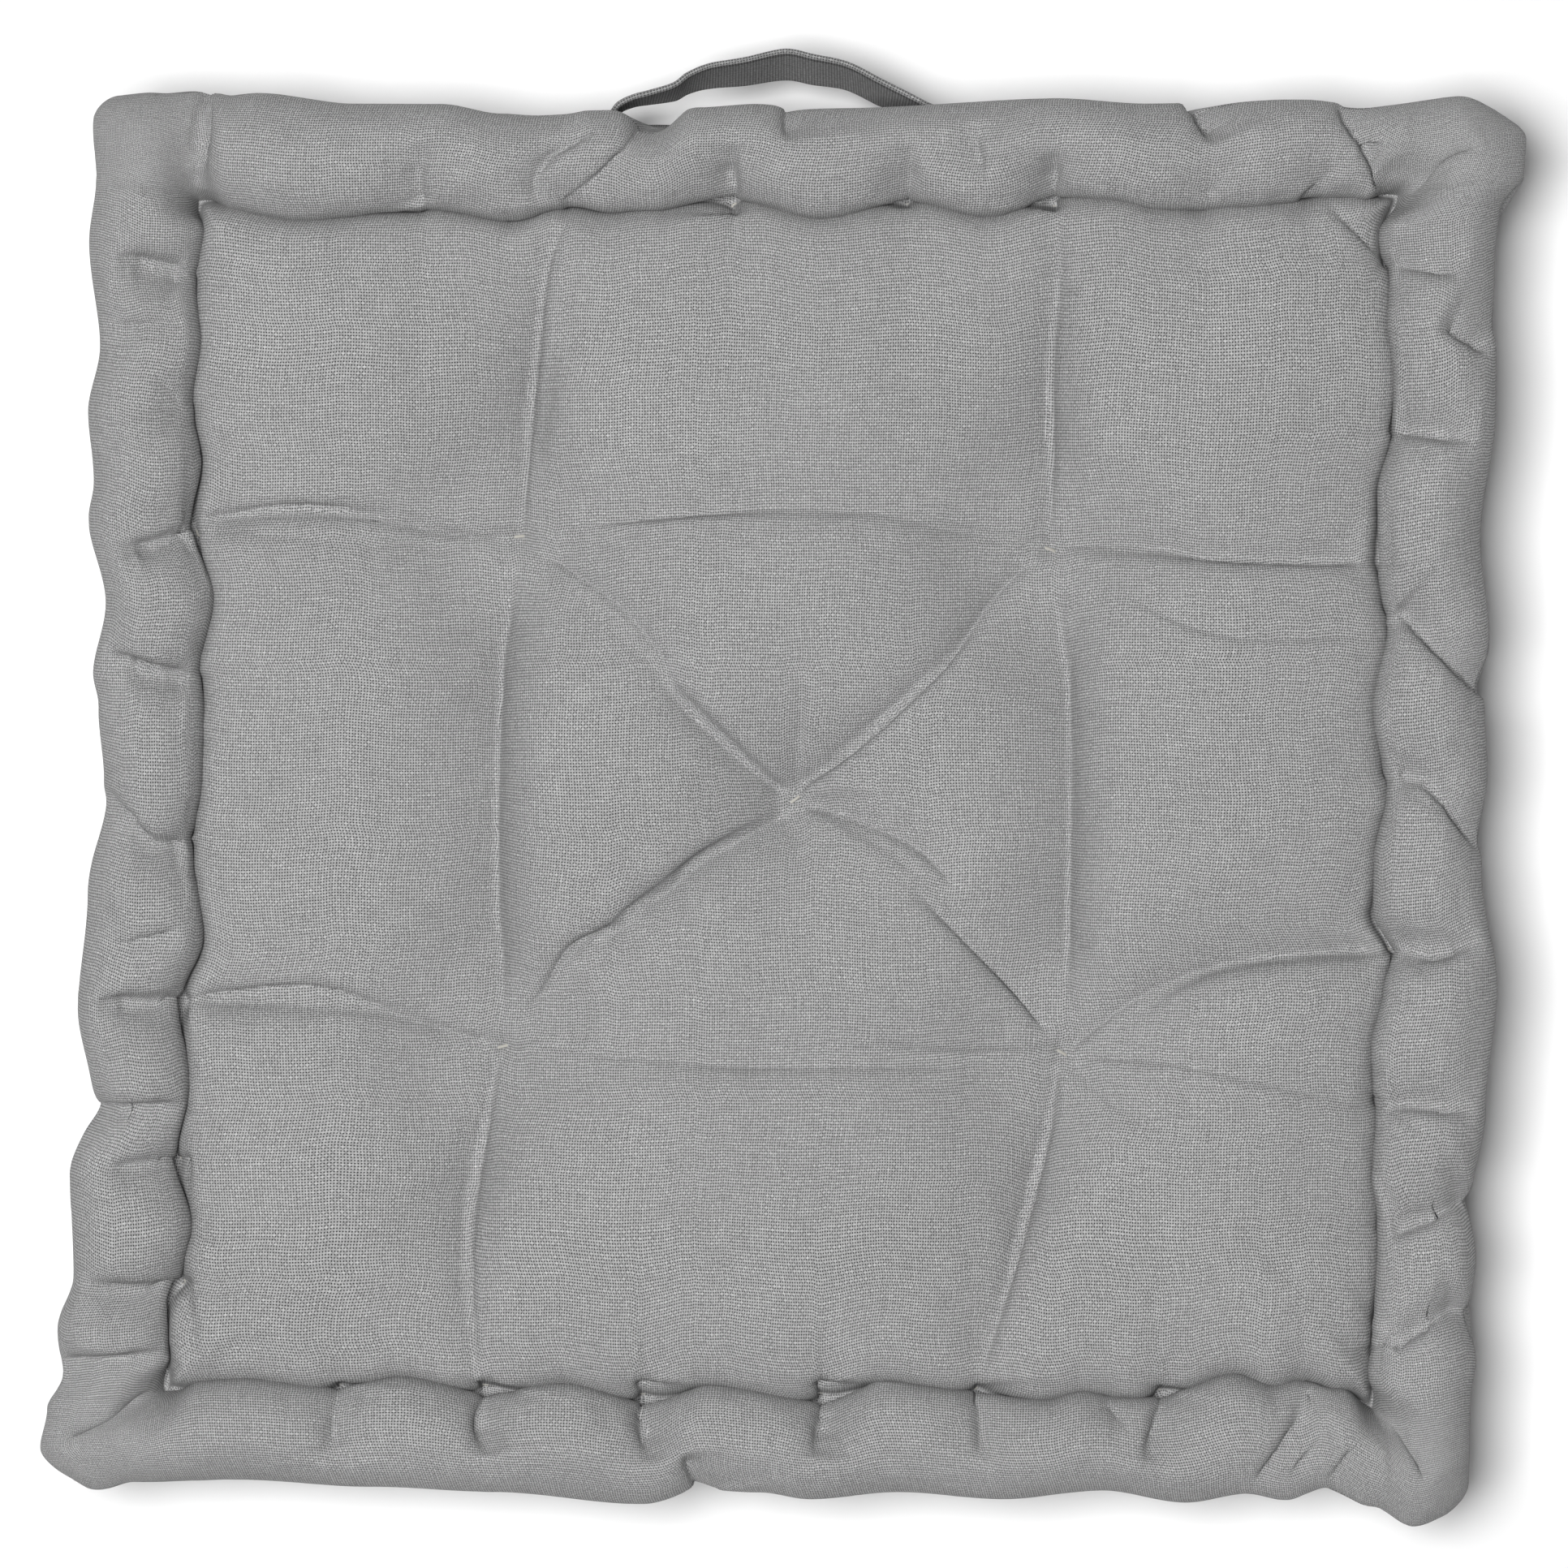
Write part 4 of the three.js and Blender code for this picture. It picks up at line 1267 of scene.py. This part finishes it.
def thread_rings(path, radius, closed):
    """Rings of points round a path, and their cloth coordinates."""
    if closed:
        ahead = unit(np.roll(path, -1, axis=0) - np.roll(path, 1, axis=0))
    else:
        ahead = unit(np.gradient(path, axis=0))
    side = np.cross(ahead[0], [0.31, 0.87, 0.39])
    sides = []
    for direction in ahead:
        side = unit(side - direction * (side @ direction))
        sides.append(side)
    sides = np.array(sides)
    ups = np.cross(ahead, sides)
    angles = np.linspace(0, 2 * math.pi, THREAD_SIDES, endpoint=False)
    out = np.cos(angles)[:, None] * sides[:, None] + np.sin(angles)[:, None] * ups[:, None]
    rings = path[:, None] + radius * out
    return rings, pairs_of(lengths_along(path), angles / math.pi)


def thread_piece(name, paths, radius, closed=False):
    """One object made of separate lengths of thread."""
    points = []
    pairs = []
    faces = []
    count = 0
    for path in paths:
        rings, uv = thread_rings(path, radius, closed)
        faces += [[p + count for p in face] for face in tube_faces(*rings.shape[:2], closed)]
        count += rings[..., 0].size
        points.append(rings.reshape(-1, 3))
        pairs.append(uv.reshape(-1, 2))
    return mesh_object(name, np.concatenate(points), faces, np.concatenate(pairs))


def surface_point(surface, x, y):
    """The point of a panel nearest to a place in plan."""
    distance = np.hypot(surface[..., 0] - x, surface[..., 1] - y)
    return surface[np.unravel_index(np.argmin(distance), distance.shape)]


# Radii of the threads: ties, edge stitches and handle stitches.
TIE_THREAD = 0.45
EDGE_THREAD = 0.3
HANDLE_THREAD = 0.22
TIE_TURNS = dict(zip(TUFT_NAMES, (36, 5, -20, 15, -30)))  # of each tie's bar, in degrees
TIE_BAR_REACH = 1.3
TIE_BAR = [(-1, 0.6), (-0.6, -0.2), (0.6, -0.2), (1, 0.6)]  # share of its reach, and depth


def tie(name, x, y, degrees):
    """A loop of thread through the cushion, with a short bar on each face."""
    turn = math.radians(degrees)
    reach = np.array([math.cos(turn), math.sin(turn)]) * TIE_BAR_REACH
    high = surface_point(top_surface, x, y)[2] + 2 * TIE_THREAD
    low = surface_point(bottom_surface, x, y)[2] - 2 * TIE_THREAD
    over = [(x + reach[0] * share, y + reach[1] * share, high - depth) for share, depth in TIE_BAR]
    under = [(x + reach[0] * share, y + reach[1] * share, low + depth) for share, depth in TIE_BAR]
    down = [(x + 0.9, y + 0.3, high - 6), (x + 0.9, y + 0.3, low + 6)]
    up = [(x - 0.9, y - 0.3, low + 6), (x - 0.9, y - 0.3, high - 6)]
    loop = over + down + under[::-1] + up
    paths = [smooth_path(loop, 160, closed=True)]
    obj = thread_piece(f"{name}_thread", paths, TIE_THREAD, closed=True)
    return finish_piece(obj, THREAD, stands_for=[name])


for name, (x, y) in TUFTS.items():
    tie(f"tuft_tie_{name}", x, y, TIE_TURNS[name])


def groove_point(surface, side, along):
    """Reach and height of the foot of a panel's groove at a place along a side."""
    row = panel_line(surface, side, 2 * ROLL_LINES)
    lengthways = 1 if side in ("right", "left") else 0
    point = row[np.argmin(np.abs(row[:, lengthways] - along))]
    return abs(point[1 - lengthways]), point[2]


STITCH_HALF_WIDTH = 1.5


def edge_stitch(side, along, surface, upper):
    """One closed stitch from the groove, through the roll's foot, to the band and back."""
    sign = 1 if upper else -1
    reach, foot = groove_point(surface, side, along)
    groove_height = foot + 0.2 * sign
    band_height = BAND_TOP if upper else BAND_FOOT
    one_way = [
        (reach, 0.5, groove_height), (reach, 1, groove_height - 0.8 * sign),
        (BAND_REACH - 6, 1, band_height + 3 * sign), (BAND_REACH, 1, band_height),
        (BAND_REACH + 0.5, 0.4, band_height),
    ]
    back = [(out, -share, height) for out, share, height in reversed(one_way)]
    points = []
    for out, share, height in back[3:] + one_way + back[:3]:
        points.append((*from_side(side, out, along + STITCH_HALF_WIDTH * share), height))
    return smooth_path(points, 70, closed=True)


def edge_stitching(name, surface, upper, node):
    paths = []
    for side, facts in SIDES.items():
        for along in facts["stitches"][1:-1]:
            paths.append(edge_stitch(side, along, surface, upper))
    obj = thread_piece(name, paths, EDGE_THREAD, closed=True)
    return finish_piece(obj, THREAD, stands_for=[node])


edge_stitching("top_edge_stitches", top_surface, True, "edge_stitching_top")
edge_stitching("bottom_edge_stitches", bottom_surface, False, "edge_stitching_bottom")


# ---- Carry handle ----

STRAP_WIDTH = box_mm("carry_handle_end_left")[1][2] - box_mm("carry_handle_end_left")[0][2]
STRAP_HALF_THICK = 0.8
STRAP_REST = math.radians(18)  # the loop hangs this far below level
STRAP_GAP = 0.3  # between the band and the strap's sewn ends
TAB_REACH = BAND_REACH + STRAP_GAP + STRAP_HALF_THICK
# Stops of the strap: place along x, reach in y, and its lean outwards at the top in degrees.
STRAP_STOPS = [
    (-75, TAB_REACH, 0), (-66, TAB_REACH, 0), (-57.5, TAB_REACH + 0.2, 0), (-53, 194.6, 0),
    (-51.6, 196.6, 0), (-49.8, 198.9, 0), (-46, 200.6, 1), (-41.5, 201.6, 2.5), (-34.5, 203.3, 5.5),
    (-30, 206.0, 8.4), (-24, 208.0, 11.5), (-14, 209.3, 14), (-2.2, 211.4, 16.7), (6, 209.9, 16),
    (15.7, 208.0, 14), (25.2, 203.2, 13.4), (33, 199.6, 11), (40, 196.6, 8), (49, 194.4, 3),
    (58, TAB_REACH + 0.1, 0), (67, TAB_REACH, 0), (76, TAB_REACH, 0),
]


def strap_rings():
    """Sections of the strap along its path: flat, with round folded edges."""
    stops = np.array(STRAP_STOPS, float)
    below = np.maximum(stops[:, 1] - HINGE[1], 0) * math.tan(STRAP_REST)
    route = smooth_path(np.column_stack([stops[:, :2], MIDDLE - below]), 221)
    lean = np.radians(np.interp(route[:, 0], stops[:, 0], stops[:, 2]))
    ahead = unit(np.gradient(route, axis=0))
    across = np.column_stack([np.zeros(len(lean)), np.sin(lean), np.cos(lean)])
    across = unit(across - ahead * np.sum(across * ahead, axis=1, keepdims=True))
    out = np.cross(across, ahead)
    half = STRAP_WIDTH / 2 - STRAP_HALF_THICK
    bend = np.linspace(-math.pi / 2, math.pi / 2, 7)
    flat = np.linspace(-half, half, 15)[1:-1]
    thick = STRAP_HALF_THICK
    upper_edge = [(half + thick * math.cos(turn), thick * math.sin(turn)) for turn in bend]
    lower_edge = [(-x, -y) for x, y in upper_edge]
    far_face = [(x, thick) for x in flat[::-1]]
    near_face = [(x, -thick) for x in flat]
    section = np.array(upper_edge + far_face + lower_edge + near_face)
    rings = route[:, None] + section[:, :1] * across[:, None] + section[:, 1:] * out[:, None]
    along, around = lengths_along(route), lengths_along(section)
    return rings, pairs_of(along / THREAD_PITCH[1], around / THREAD_PITCH[0])


def handle():
    """The strap, its ends lying flat on the band and its loop hanging out below level."""
    rings, uv = strap_rings()
    faces = tube_faces(*rings.shape[:2], closed=False)
    obj = mesh_object("carry_handle", rings.reshape(-1, 3), faces, uv.reshape(-1, 2))
    # The strap's darker canvas is painted shade.
    obj.data.materials.append(SHADED_STRAP_CANVAS)
    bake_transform(obj)
    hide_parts("carry_handle_loop", "carry_handle_end_left", "carry_handle_end_right")


handle()


STITCH_LENGTH = 2.6


def handle_stitching(node):
    """A box of short stitches with a cross, on one sewn end of the strap."""
    low, high = box_mm(node)
    reach = BAND_REACH + STRAP_GAP + 2 * STRAP_HALF_THICK + 0.1
    corners = [(low[0], low[2]), (high[0], low[2]), (high[0], high[2]), (low[0], high[2])]
    lines = [(corners[k], corners[(k + 1) % 4]) for k in range(4)]
    lines += [(corners[0], corners[2]), (corners[1], corners[3])]
    paths = []
    for start, end in np.array(lines):
        count = round(np.linalg.norm(end - start) / STITCH_LENGTH)
        for k in range(count):
            shares = (k + np.array([0.12, 0.272, 0.728, 0.88])) / count
            stops = []
            for share, out in zip(shares, (-0.4, 0.1, 0.1, -0.4)):
                place = start + (end - start) * share
                stops.append((place[0], reach + out, place[1]))
            paths.append(smooth_path(stops, 10))
    obj = thread_piece(f"{node}_stitches", paths, HANDLE_THREAD)
    return finish_piece(obj, THREAD, stands_for=[node])


handle_stitching("handle_stitching_left")
handle_stitching("handle_stitching_right")


# ---- Floor, light and camera ----

def floor():
    nodes = Nodes("floor")
    nodes.feed(nodes.shader, "Base Color", grey(0.96))
    nodes.shader.inputs["Roughness"].default_value = 0.9
    size = 4000
    corners = [(-size, -size, -0.2), (size, -size, -0.2), (size, size, -0.2), (-size, size, -0.2)]
    obj = mesh_object("floor", corners, [(0, 1, 2, 3)])
    obj.data.materials.append(nodes.material)


def soft_light(name, place, size, power):
    """A square area light that faces the cushion."""
    data = bpy.data.lights.new(name, "AREA")
    data.shape = "SQUARE"
    data.size = size
    data.energy = power
    obj = bpy.data.objects.new(name, data)
    obj.location = place
    obj.rotation_euler = Vector(place).to_track_quat("Z", "Y").to_euler()
    bpy.context.collection.objects.link(obj)


def studio():
    world = bpy.data.worlds.new("studio")
    bpy.context.scene.world = world
    world.use_nodes = True
    background = world.node_tree.nodes["Background"]
    background.inputs["Color"].default_value = grey(1.0)
    background.inputs["Strength"].default_value = 0.03
    soft_light("key", (-0.42, 0.0, 2.9), 0.9, 95)
    bpy.context.scene.view_settings.view_transform = "Standard"


def camera():
    """Looks straight down, so far away that the cushion's sides don't show."""
    distance = 2.2
    seen_width = 0.4444
    data = bpy.data.cameras.new("camera")
    data.sensor_width = 36
    data.lens = data.sensor_width * distance / seen_width
    obj = bpy.data.objects.new("camera", data)
    obj.location = (-0.0025, 0.0037, ROLL_TOP / 1000 + distance)
    bpy.context.collection.objects.link(obj)
    bpy.context.scene.camera = obj


floor()
studio()
camera()
